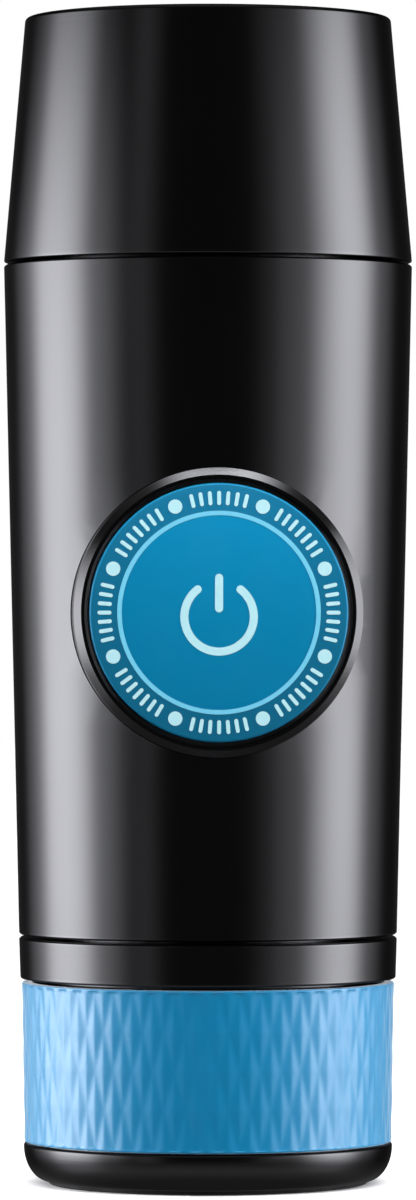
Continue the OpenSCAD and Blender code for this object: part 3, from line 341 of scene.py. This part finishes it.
def grip_blue():
    """Blue silicone of the sleeve, with a fine skin and slight drifts of tone."""
    gloss = {"Specular_IOR_Level": 0.44, "Sheen_Weight": 0.7, "Sheen_Roughness": 0.3}
    made = Finish("grip_blue", (0.0003, 0.15, 0.3), 0.37, **gloss)
    made.vary_color(made.noise(90), (0.0002, 0.143, 0.29), (0.0004, 0.157, 0.31))
    made.vary_roughness(made.noise(220), 0.34, 0.4)
    made.bump(made.noise(4200), microns=12, strength=0.3)
    return made.material


def button_blue():
    """Satin blue lacquer of the button with a fine grain. From the ring line outwards its colour is
    darker, which is painted shade standing in for a slightly dished border, and a little less dark on the
    rounded edge.
    """
    made = Finish("button_blue", (0.0005, 0.145, 0.275), 0.38, Specular_IOR_Level=0.15)
    out = made.spread(made.away_from(BUTTON_Z, (1, 0, 1)), 0, 1, 0, BUTTON_R * MM)
    border, edge = RING_R / BUTTON_R, 1 - BUTTON_EDGE_R / BUTTON_R
    soft = 0.01
    # Painted shade of a dished border: darker from the ring line out, less so on the rounded edge
    depth = made.ramp(out, [(border - soft, 0), (border + soft, 0.6), (edge, 0.6), (edge + soft, 0.2)])
    tone = made.combine(depth, 1, made.noise(70), 0.1)
    made.vary_color(tone, (0.0005, 0.15, 0.285), (0.005, 0.075, 0.13))
    made.vary_roughness(made.noise(160), 0.34, 0.43)
    made.bump(made.noise(7000), microns=10, strength=0.25)
    return made.material


def ink(name, low, high):
    """Ink of the button's marks, slightly uneven as pad printing is."""
    made = Finish(name, high, 0.45, Specular_IOR_Level=0.25)
    made.vary_color(made.noise(900), low, high)
    made.vary_roughness(made.noise(1200), 0.4, 0.52)
    return made.material


def natural_plastic():
    made = Finish("natural_plastic", (0.62, 0.61, 0.57), 0.5, Subsurface_Weight=0.1)
    made.vary_color(made.noise(60), (0.56, 0.55, 0.51), (0.66, 0.65, 0.61))
    made.vary_roughness(made.noise(140), 0.44, 0.58)
    made.bump(made.noise(2600), microns=20, strength=0.3)
    return made.material


def silicone():
    made = Finish("silicone", (0.34, 0.35, 0.37), 0.55, Sheen_Weight=0.2)
    made.vary_color(made.noise(120), (0.3, 0.31, 0.33), (0.38, 0.39, 0.41))
    made.vary_roughness(made.noise(300), 0.48, 0.62)
    made.bump(made.noise(3800), microns=15, strength=0.3)
    return made.material


def foot_rubber():
    """Black rubber, greyed where it is scuffed."""
    made = Finish("foot_rubber", (0.006, 0.006, 0.006), 0.75, Specular_IOR_Level=0.2)
    made.vary_color(made.noise(140, detail=6), (0.004, 0.004, 0.004), (0.014, 0.0135, 0.013))
    made.vary_roughness(made.noise(260), 0.66, 0.86)
    made.bump(made.noise(2800), microns=40, strength=0.5)
    return made.material


def metal(name, dark, light, roughness, streaks, grain=(0.05, 0.05, 1)):
    """A metal with brushing marks, drawn out along the axes whose grain is under 1."""
    made = Finish(name, light, roughness, metallic=1.0)
    brushing = made.noise(streaks, detail=4, stretch=grain)
    made.vary_color(brushing, dark, light)
    made.vary_roughness(brushing, roughness - 0.07, roughness + 0.09)
    made.bump(brushing, microns=8, strength=0.35)
    return made.material


def insulation():
    """Pale ceramic felt."""
    made = Finish("insulation", (0.6, 0.59, 0.55), 0.95, Sheen_Weight=0.4)
    fibres = made.noise(1400, detail=8, stretch=(1, 1, 0.25))
    made.vary_color(fibres, (0.48, 0.47, 0.43), (0.68, 0.67, 0.63))
    made.vary_roughness(fibres, 0.85, 1.0)
    made.bump(fibres, microns=200, strength=0.8)
    return made.material


def circuit_board():
    """Green solder mask over copper tracks."""
    made = Finish("circuit_board", (0.01, 0.09, 0.035), 0.35)
    tracks = made.noise(420, detail=1, stretch=(1, 1, 0.1))
    made.vary_color(made.spread(tracks, 0, 1, 0.46, 0.54), (0.008, 0.075, 0.03), (0.014, 0.13, 0.05))
    made.vary_roughness(made.noise(300), 0.3, 0.42)
    made.bump(tracks, microns=30, strength=0.4)
    return made.material


def coated(name, low, high, roughness, features):
    """A lacquered or wrapped piece whose colour drifts a little."""
    made = Finish(name, high, roughness)
    made.vary_color(made.noise(features), low, high)
    made.vary_roughness(made.noise(features * 3), roughness - 0.05, roughness + 0.07)
    made.bump(made.noise(features * 30), microns=10, strength=0.25)
    return made.material


FINISHES = {
    "shell_black": satin_black(),
    "moulded_black": moulded_black(),
    "grip_blue": grip_blue(),
    "button_blue": button_blue(),
    "natural_plastic": natural_plastic(),
    "silicone": silicone(),
    "foot_rubber": foot_rubber(),
    "steel": metal("steel", (0.5, 0.5, 0.51), (0.63, 0.63, 0.64), 0.28, 1500),
    "pump_alloy": metal("pump_alloy", (0.55, 0.56, 0.57), (0.68, 0.69, 0.7), 0.36, 900, (1, 1, 1)),
    "heater_alloy": metal("heater_alloy", (0.45, 0.45, 0.45), (0.56, 0.56, 0.55), 0.45, 700, (1, 1, 1)),
    "insulation": insulation(),
    "circuit_board": circuit_board(),
    "cell": coated("cell", (0.03, 0.11, 0.3), (0.045, 0.15, 0.37), 0.35, 120),
    "magnet": coated("magnet", (0.02, 0.02, 0.022), (0.05, 0.05, 0.052), 0.6, 400),
    "winding": metal("winding", (0.42, 0.16, 0.05), (0.7, 0.32, 0.12), 0.32, 2600),
    "wire": coated("wire", (0.3, 0.012, 0.01), (0.42, 0.02, 0.014), 0.45, 200),
}
RING_INK = ink("ring_ink", (0.1, 0.39, 0.53), (0.13, 0.43, 0.58))
MARK_INK = ink("mark_ink", (0.3, 0.53, 0.57), (0.35, 0.57, 0.6))

# Every CAD node wears the finish of its slot
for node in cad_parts.values():
    for holder in node.material_slots:
        holder.material = FINISHES[holder.material.name.split(".")[0]]


# Cap, cup and foot pad, with their edges fully rounded


def cap_r(z):
    """Outside radius of the tapering cap at a height."""
    return SEAM_R + (CAP_TOP_R - SEAM_R) * (z - CAP_Z0) / (TOP_Z - CAP_Z0)


def cap_edge(start, end, steps):
    """Points of the cap's rounded top edge between two tilts."""
    return arc(CAP_TOP_R - CAP_EDGE_R, TOP_Z - CAP_EDGE_R, CAP_EDGE_R, start, end, steps)


def make_cap():
    """The cap's wall, its rim and the disc let into its top, with a fine groove round the disc."""
    taper = math.degrees(math.atan2(SEAM_R - CAP_TOP_R, TOP_Z - CAP_Z0))
    inner_top = TOP_Z - CAP_TOP_T
    low_z = CAP_Z0 + SEAM_EDGE_R
    low_edge = arc(cap_r(low_z) - SEAM_EDGE_R, low_z, SEAM_EDGE_R, -90, taper, steps=6)
    wall_edge = cap_edge(taper, RIM_START, steps=4)
    rim_edge = cap_edge(RIM_START, 90, steps=14)
    seat_z = wall_edge[-1][1]
    inner_r = cap_r(inner_top) - CAP_WALL
    inside = [(inner_r - CAP_INNER_CHAMFER, inner_top), (inner_r, inner_top - CAP_INNER_CHAMFER)]
    inside.append((SEAM_R - CAP_WALL, CAP_Z0))
    wall = [(0, inner_top)] + inside + low_edge + wall_edge + [(0, seat_z)]
    add_piece("cap_shell", turned("cap_shell", wall), "cap", "shell_black", ["top_cap"])

    bore_r = TOP_DISC_R + TOP_GROOVE_W
    bore = [(bore_r + TOP_BORE_EDGE, TOP_Z), (bore_r, TOP_Z - TOP_BORE_EDGE), (bore_r, seat_z)]
    rim_mesh = turned("cap_rim", rim_edge + bore, closed=True)
    rim = add_piece("cap_rim", rim_mesh, "cap", "shell_black")

    edge_r, edge_z = TOP_DISC_R - TOP_DISC_EDGE_R, TOP_Z - TOP_DISC_EDGE_R
    disc_edge = arc(edge_r, edge_z, TOP_DISC_EDGE_R, 0, 90, steps=6)
    disc_mesh = turned("cap_top", [(0, seat_z), (TOP_DISC_R, seat_z)] + disc_edge + [(0, TOP_Z)])
    disc = add_piece("cap_top", disc_mesh, "cap", "shell_black", material=turned_black())
    return rim, disc


def make_cup():
    """Cup with a rounded base, a seat for the sleeve, a round rim and a bowl."""
    middle_r, middle_z = BASE_R - BASE_CORNER_W, BASE_H - BASE_EDGE_R
    corner = arc(middle_r, middle_z, BASE_CORNER_W, BASE_CORNER_END, 0, steps=24, height=BASE_CORNER_H)
    shoulder = arc(BASE_R - BASE_EDGE_R, middle_z, BASE_EDGE_R, 0, 90, steps=8)
    rim_r = (SLEEVE_SEAT_R - CUP_MOUTH_R) / 2
    rim = arc(CUP_MOUTH_R + rim_r, CUP_RIM_Z - rim_r, rim_r, 0, 180, steps=16)
    bowl = arc(CUP_FLOOR_R, CUP_FLOOR_Z + CUP_BOWL_R, CUP_BOWL_R, 0, -90, steps=12)
    pocket_r, ledge_z = FOOT_R + FOOT_GAP, corner[0][1]
    outline = (
        [(0, FOOT_T), (pocket_r, FOOT_T), (pocket_r, ledge_z)]
        + corner
        + shoulder
        + [(SLEEVE_SEAT_R, BASE_H)]
        + rim
        + [(CUP_MOUTH_R, CUP_WALL_Z)]
        + bowl
        + [(0, CUP_FLOOR_Z)]
    )
    add_piece("cup_body", turned("cup_body", outline), "cup", "shell_black", ["cup_shell"])


def make_foot():
    """Rubber pad with shallow rings moulded in its underside."""
    outline = [(0, 0)]
    for r in FOOT_GROOVES:
        outline += [(r - GROOVE_HALF - GROOVE_SLOPE, 0), (r - GROOVE_HALF, GROOVE_DEPTH)]
        outline += [(r + GROOVE_HALF, GROOVE_DEPTH), (r + GROOVE_HALF + GROOVE_SLOPE, 0)]
    outline += arc(FOOT_R - FOOT_EDGE_R, FOOT_EDGE_R, FOOT_EDGE_R, -90, 0, steps=6)
    outline += [(FOOT_R, FOOT_T), (0, FOOT_T)]
    add_piece("foot_pad", turned("foot_pad", outline), "cup", "foot_rubber", ["cup_foot"])


cap_rim, cap_top = make_cap()
make_cup()
make_foot()


# Knurled silicone sleeve

KNURL_COLUMNS = 54  # diamonds round the sleeve
KNURL_ROWS = 4  # half diamonds from rim to rim
KNURL_DEPTH = 0.16
KNURL_SOFT = 0.85  # how far peaks and grooves are rounded
KNURL_RIM = 0.5  # smooth rim above and below the diamonds
RIM_EDGE, RIM_EDGE_MID = 0.3, 0.09  # reach of the rims' rounded edges, and their inset halfway
SLEEVE_FIT = 0.05  # play between the sleeve and the cup's wall
STEPS_ROUND = 6  # mesh steps in half a diamond's width
STEPS_UP = 14  # mesh steps in half a diamond's height


def make_sleeve():
    """Sleeve of slim pyramids: each diamond is highest in its middle, with grooves between."""
    columns = KNURL_COLUMNS * 2 * STEPS_ROUND
    rows = KNURL_ROWS * STEPS_UP
    build = bmesh.new()

    def wall_r(z):
        return SLEEVE_LOW_R + (SLEEVE_HIGH_R - SLEEVE_LOW_R) * (z - SLEEVE_Z0) / (SLEEVE_Z1 - SLEEVE_Z0)

    def hollow(i, j):
        """Depth below the wall, 0 in a diamond's middle and 1 in a groove."""
        share = abs((i / STEPS_ROUND) % 2 - 1) + abs((j / STEPS_UP) % 2 - 1)
        level = min(share, 2 - share)
        return level + KNURL_SOFT * (level * level * (3 - 2 * level) - level)

    def ring(z, radii):
        return [build.verts.new(upright(r, z, TURN * i / columns)) for i, r in enumerate(radii)]

    def plain(drop, z):
        """A ring of the smooth rims, so far inside the wall."""
        return ring(z, [wall_r(z) - drop] * columns)

    def knurled(j):
        z = SLEEVE_Z0 + KNURL_RIM + (SLEEVE_Z1 - SLEEVE_Z0 - 2 * KNURL_RIM) * j / rows
        return ring(z, [wall_r(z) - KNURL_DEPTH * hollow(i, j) for i in range(columns)])

    def inner(z):
        return ring(z, [SLEEVE_SEAT_R + SLEEVE_FIT] * columns)

    low_edge = [(RIM_EDGE, 0), (RIM_EDGE_MID, RIM_EDGE_MID), (0, RIM_EDGE)]
    rings = [inner(SLEEVE_Z0)] + [plain(drop, SLEEVE_Z0 + up) for drop, up in low_edge]
    rings += [knurled(j) for j in range(rows + 1)]
    rings += [plain(drop, SLEEVE_Z1 - down) for drop, down in reversed(low_edge)] + [inner(SLEEVE_Z1)]
    join_rings(build, rings, closed=True)
    add_piece("grip_sleeve", finish_mesh("grip_sleeve", build), "cup", "grip_blue", ["cup_sleeve"])


make_sleeve()


# Button face and its printed marks


def make_button():
    """The button's face with a rounded edge, and the skirt behind it."""
    face = BUTTON_FRONT - PRINT_T
    bore_r = BUTTON_R - BUTTON_SKIRT_WALL
    back = BUTTON_FRONT - BUTTON_T
    rounding = arc(BUTTON_R - BUTTON_EDGE_R, face - BUTTON_EDGE_R, BUTTON_EDGE_R, 0, 90, steps=8)
    skirt = [(bore_r, back), (bore_r, BUTTON_SKIRT), (BUTTON_R, BUTTON_SKIRT)]
    outline = [(0, back)] + skirt + rounding + [(0, face)]
    mesh = turned("button_face", outline, on_button)
    return add_piece("button_face", mesh, "button", "button_blue", ["button_cap"])


def stroke(points, width):
    """Outline of a pen line of a width along a path, with round ends."""
    half = width / 2
    left, right = [], []
    for i, (x, y) in enumerate(points):
        before, after = points[max(i - 1, 0)], points[min(i + 1, len(points) - 1)]
        dx, dy = after[0] - before[0], after[1] - before[1]
        size = math.hypot(dx, dy)
        left.append((x - dy / size * half, y + dx / size * half))
        right.append((x + dy / size * half, y - dx / size * half))

    def end(centre, start):
        angle = math.degrees(math.atan2(start[1] - centre[1], start[0] - centre[0]))
        return arc(*centre, half, angle, angle - 180, steps=10)[1:-1]

    return left + end(points[-1], left[-1]) + right[::-1] + end(points[0], right[0])


def polar(r, angle):
    return (r * math.cos(math.radians(angle)), r * math.sin(math.radians(angle)))


def mark_outlines():
    """Outlines of the pale marks, seen from the front."""
    sector = 360 / DOTS
    inner, outer = MARK_R - TICK_LENGTH / 2, MARK_R + TICK_LENGTH / 2
    outlines = []
    for i in range(DOTS):
        middle = sector * (i + 0.5)
        outlines.append(arc(*polar(MARK_R, middle), DOT_R, 0, 360, steps=24)[:-1])
        for k in range(TICKS):
            angle = sector * i + TICK_STEP * (k - (TICKS - 1) / 2)
            outlines.append(stroke([polar(inner, angle), polar(outer, angle)], TICK_W))
    icon_arc = arc(0, -ICON_DROP, ICON_R, 90 + ICON_GAP, 450 - ICON_GAP, steps=48)
    outlines.append(stroke(icon_arc, ICON_W))
    outlines.append(stroke([(0, ICON_DROP), (0, ICON_R)], ICON_W))
    return outlines


def make_print():
    """The ring line and the marks, as ink that stands a little above the face."""
    sunk, top = BUTTON_FRONT - PRINT_T - PRINT_SINK, BUTTON_FRONT
    inner, outer = RING_R - RING_W / 2, RING_R + RING_W / 2
    corners = [(inner, sunk), (outer, sunk), (outer, top), (inner, top)]
    line = turned("button_ring", corners, on_button, closed=True)
    add_piece("button_ring", line, "button", "button_blue", material=RING_INK)

    build = bmesh.new()
    for outline in mark_outlines():
        places = [[Vector((x, -h, BUTTON_Z + y)) * MM for x, y in outline] for h in (sunk, top)]
        low, high = [[build.verts.new(place) for place in ring] for ring in places]
        join_rings(build, [low, high], closed=False)
        build.faces.new(high)
        build.faces.new(low[::-1])
    marks = finish_mesh("button_marks", build)
    add_piece("button_marks", marks, "button", "button_blue", material=MARK_INK)


button_face = make_button()
make_print()


# Springs inside


def make_spring(name, node):
    """A spring of the CAD frame as a piece of its own, in steel, on the main body."""
    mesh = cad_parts[node].data.copy()
    mesh.materials.clear()
    coil = add_piece(name, mesh, "main", "steel", [node])
    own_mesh(coil)


make_spring("button_coil", "button_spring")
make_spring("relief_coil", "relief_spring")


# Camera: level, far off, and a little to the left of the button

CAMERA_TURN = math.radians(2.9)
CAMERA_D, CAMERA_Z = 1.227, 0.0989
SENSOR = 36  # width in millimetres
FRAME_H, FOCAL, RISE = 1200, 7150, 6  # the frame's height, the focal length and the shift, in one unit
toward_camera = Vector((-math.sin(CAMERA_TURN), -math.cos(CAMERA_TURN), 0))
to_right = Vector((math.cos(CAMERA_TURN), -math.sin(CAMERA_TURN), 0))

camera = bpy.data.objects.new("camera", bpy.data.cameras.new("camera"))
camera.location = toward_camera * CAMERA_D + Vector((0, 0, CAMERA_Z))
camera.rotation_euler = (math.pi / 2, 0, -CAMERA_TURN)
camera.data.sensor_width = SENSOR
camera.data.lens = SENSOR * FOCAL / FRAME_H
camera.data.shift_y = RISE / FRAME_H
camera.data.clip_start, camera.data.clip_end = 0.05, 50
scene.collection.objects.link(camera)
scene.camera = camera


# Floor, background and studio lights

FLOOR_R, FLOOR_FACETS = 4.0, 96
floor_build = bmesh.new()
bmesh.ops.create_circle(floor_build, cap_ends=True, segments=FLOOR_FACETS, radius=FLOOR_R)
floor_mesh = bpy.data.meshes.new("floor")
floor_build.to_mesh(floor_mesh)
floor_build.free()
floor = bpy.data.objects.new("floor", floor_mesh)
floor_paint = Finish("floor_paint", (0.9, 0.9, 0.9), 0.9)
floor_paint.vary_color(floor_paint.noise(3), (0.89, 0.89, 0.89), (0.91, 0.91, 0.91))
floor_mesh.materials.append(floor_paint.material)
scene.collection.objects.link(floor)
floor.visible_glossy = False  # the object is lit and mirrored by the surround and the soft boxes alone
floor.visible_diffuse = False
floor.visible_shadow = False
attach(floor, "cup")  # the maker comes off its cup, which stays standing on the floor

LIGHT_TINT = (0.95, 0.955, 1.0)
BACKGROUND = 1.0
# Brightness of the surround by the height of a direction, from straight down to straight up
SURROUND = ((-1, 0.2), (-0.85, 0.2), (-0.55, 0.5), (-0.2, 0.05), (0.55, 0.05), (0.85, 0.3), (1, 0.3))


def make_world():
    """A white background, and a surround with some light above and below and little all round."""
    world = bpy.data.worlds.new("studio")
    scene.world = world
    world.use_nodes = True
    nodes, links = world.node_tree.nodes, world.node_tree.links
    surround = nodes["Background"]
    surround.inputs["Color"].default_value = (1, 1, 1, 1)
    direction = nodes.new("ShaderNodeSeparateXYZ")
    links.new(nodes.new("ShaderNodeTexCoord").outputs["Generated"], direction.inputs["Vector"])
    height = nodes.new("ShaderNodeMapRange")
    height.inputs["From Min"].default_value = -1
    links.new(direction.outputs["Z"], height.inputs["Value"])
    levels = nodes.new("ShaderNodeValToRGB")
    set_stops(levels.color_ramp, [((z + 1) / 2, level) for z, level in SURROUND])
    links.new(height.outputs["Result"], levels.inputs["Fac"])
    seen = nodes.new("ShaderNodeMix")
    links.new(nodes.new("ShaderNodeLightPath").outputs["Is Camera Ray"], seen.inputs["Factor"])
    links.new(levels.outputs["Color"], seen.inputs["A"])
    seen.inputs["B"].default_value = BACKGROUND
    links.new(seen.outputs["Result"], surround.inputs["Strength"])


def area_light(name, place, facing, width, height, radiance):
    """A flat light with an even radiance, which the camera doesn't see."""
    light = bpy.data.lights.new(name, "AREA")
    light.shape = "RECTANGLE"
    light.size, light.size_y = width, height
    light.energy = radiance * math.pi * width * height
    light.color = LIGHT_TINT
    box = bpy.data.objects.new(name, light)
    box.location = place
    box.rotation_mode = "QUATERNION"
    box.rotation_quaternion = facing.to_track_quat("-Z", "Y")
    box.visible_camera = False
    scene.collection.objects.link(box)
    return box


def grade(light, side, stops):
    """Fades a light along its width or height, by (share, level) stops."""
    light.use_nodes = True
    nodes, links = light.node_tree.nodes, light.node_tree.links
    strength = nodes["Emission"].inputs["Strength"]
    before = strength.links[0].from_socket if strength.links else None
    parts = nodes.new("ShaderNodeSeparateXYZ")
    links.new(nodes.new("ShaderNodeNewGeometry").outputs["Parametric"], parts.inputs["Vector"])
    fade = nodes.new("ShaderNodeValToRGB")
    fade.color_ramp.interpolation = "EASE"
    set_stops(fade.color_ramp, stops)
    links.new(parts.outputs[side], fade.inputs["Fac"])
    product = nodes.new("ShaderNodeMath")
    product.operation = "MULTIPLY"
    product.inputs[1].default_value = 1
    links.new(fade.outputs["Color"], product.inputs[0])
    if before:
        links.new(before, product.inputs[1])
    links.new(product.outputs[0], strength)


def soft_box(name, angle, radiance, form, across, up=None):
    """An upright soft box, graded by stops, at an angle round the object from the camera to the right."""
    distance, width, low, high = form
    a = math.radians(angle)
    outward = toward_camera * math.cos(a) + to_right * math.sin(a)
    middle = outward * distance + Vector((0, 0, (low + high) / 2))
    box = area_light(name, middle, -outward, width, high - low, radiance)
    grade(box.data, "X", across)
    if up:
        grade(box.data, "Y", up)
    return box


def link_light(light, state, *pieces):
    """Lets a light reach only some pieces (INCLUDE), or all but them (EXCLUDE)."""
    linked = bpy.data.collections.new(light.name)
    for piece in pieces:
        linked.objects.link(piece)
    for member in linked.collection_objects:
        member.light_linking.link_state = state
    light.light_linking.receiver_collection = linked


def overhead(name, x, z, width, depth, radiance, piece):
    """A lamp above, facing down, that lights one piece only."""
    box = area_light(name, Vector((x, 0, z)), Vector((0, 0, -1)), width, depth, radiance)
    grade(box.data, "X", BELL)
    link_light(box, "INCLUDE", piece)


def front_lamp(name, forward, right, up, target, width, height, radiance):
    """A lamp before the object that lights it and isn't mirrored in it."""
    place = toward_camera * forward + to_right * right + Vector((0, 0, up))
    box = area_light(name, place, target - place, width, height, radiance)
    box.visible_glossy = False
    return box


# Fades along a light's width or height, as (share, level) stops
BELL = ((0, 0), (0.5, 1), (1, 0))
LEFT_FADE = (
    (0, 0.03),
    (0.16, 0.13),
    (0.26, 0.27),
    (0.41, 0.97),
    (0.52, 1),
    (0.57, 0.9),
    (0.76, 0.17),
    (1, 0.03),
)
LEFT_UP = ((0, 0), (0.25, 0.1), (0.52, 1), (0.63, 1), (1, 0))
RIGHT_FADE = ((0, 0.04), (0.21, 0.11), (0.5, 1), (0.54, 1), (0.76, 0.14), (1, 0.02))
RIGHT_UP = ((0, 0), (0.25, 0.08), (0.52, 1), (0.75, 1), (1, 0.35))
# Soft boxes in metres: distance from the object, width, lowest and highest edge
SIDE_BOX = (0.5, 1.0, -0.4, 0.42)
FILL_BOX = (0.8, 0.4, -0.2, 0.5)

make_world()
left_box = soft_box("left_box", -92.5, 14.3, SIDE_BOX, LEFT_FADE, LEFT_UP)
right_box = soft_box("right_box", 83.9, 11.2, SIDE_BOX, RIGHT_FADE, RIGHT_UP)
# The cap's level faces would mirror the side boxes as white in a side view
for box in (left_box, right_box):
    link_light(box, "EXCLUDE", cap_rim, cap_top)
soft_box("left_fill", -38, 0.46, FILL_BOX, BELL)
soft_box("right_fill", 37, 0.3, FILL_BOX, BELL)

# A lamp above that only the button's bezel mirrors, and a dim ceiling for the cap's top
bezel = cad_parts["button_housing"]
overhead("top_box", x=0.06, z=0.8, width=0.8, depth=0.4, radiance=20, piece=bezel)
overhead("ceiling", x=0, z=1.2, width=2.4, depth=2.4, radiance=1.2, piece=cap_top)

# Soft light on the front. The button's face has a nearer lamp instead, which shades it from top to bottom
front_middle = Vector((0, 0, 0.08))
front_place = {"forward": 0.22, "right": 0.04, "up": 0.27}
front_box = front_lamp("front_box", target=front_middle, width=0.3, height=0.1, radiance=8, **front_place)
link_light(front_box, "EXCLUDE", button_face)
face_middle = Vector((0, -BUTTON_FRONT, BUTTON_Z)) * MM
face_place = {"forward": 0.085, "right": 0.012, "up": 0.165}
face_box = front_lamp("face_box", target=face_middle, width=0.08, height=0.04, radiance=9.5, **face_place)
link_light(face_box, "INCLUDE", button_face)

# Even light from above, which doesn't show in the black shell
sky = bpy.data.objects.new("sky", bpy.data.lights.new("sky", "SUN"))
sky.data.energy = 3.4
sky.data.angle = math.radians(120)
sky.visible_glossy = False
scene.collection.objects.link(sky)

scene.view_settings.view_transform = "Standard"
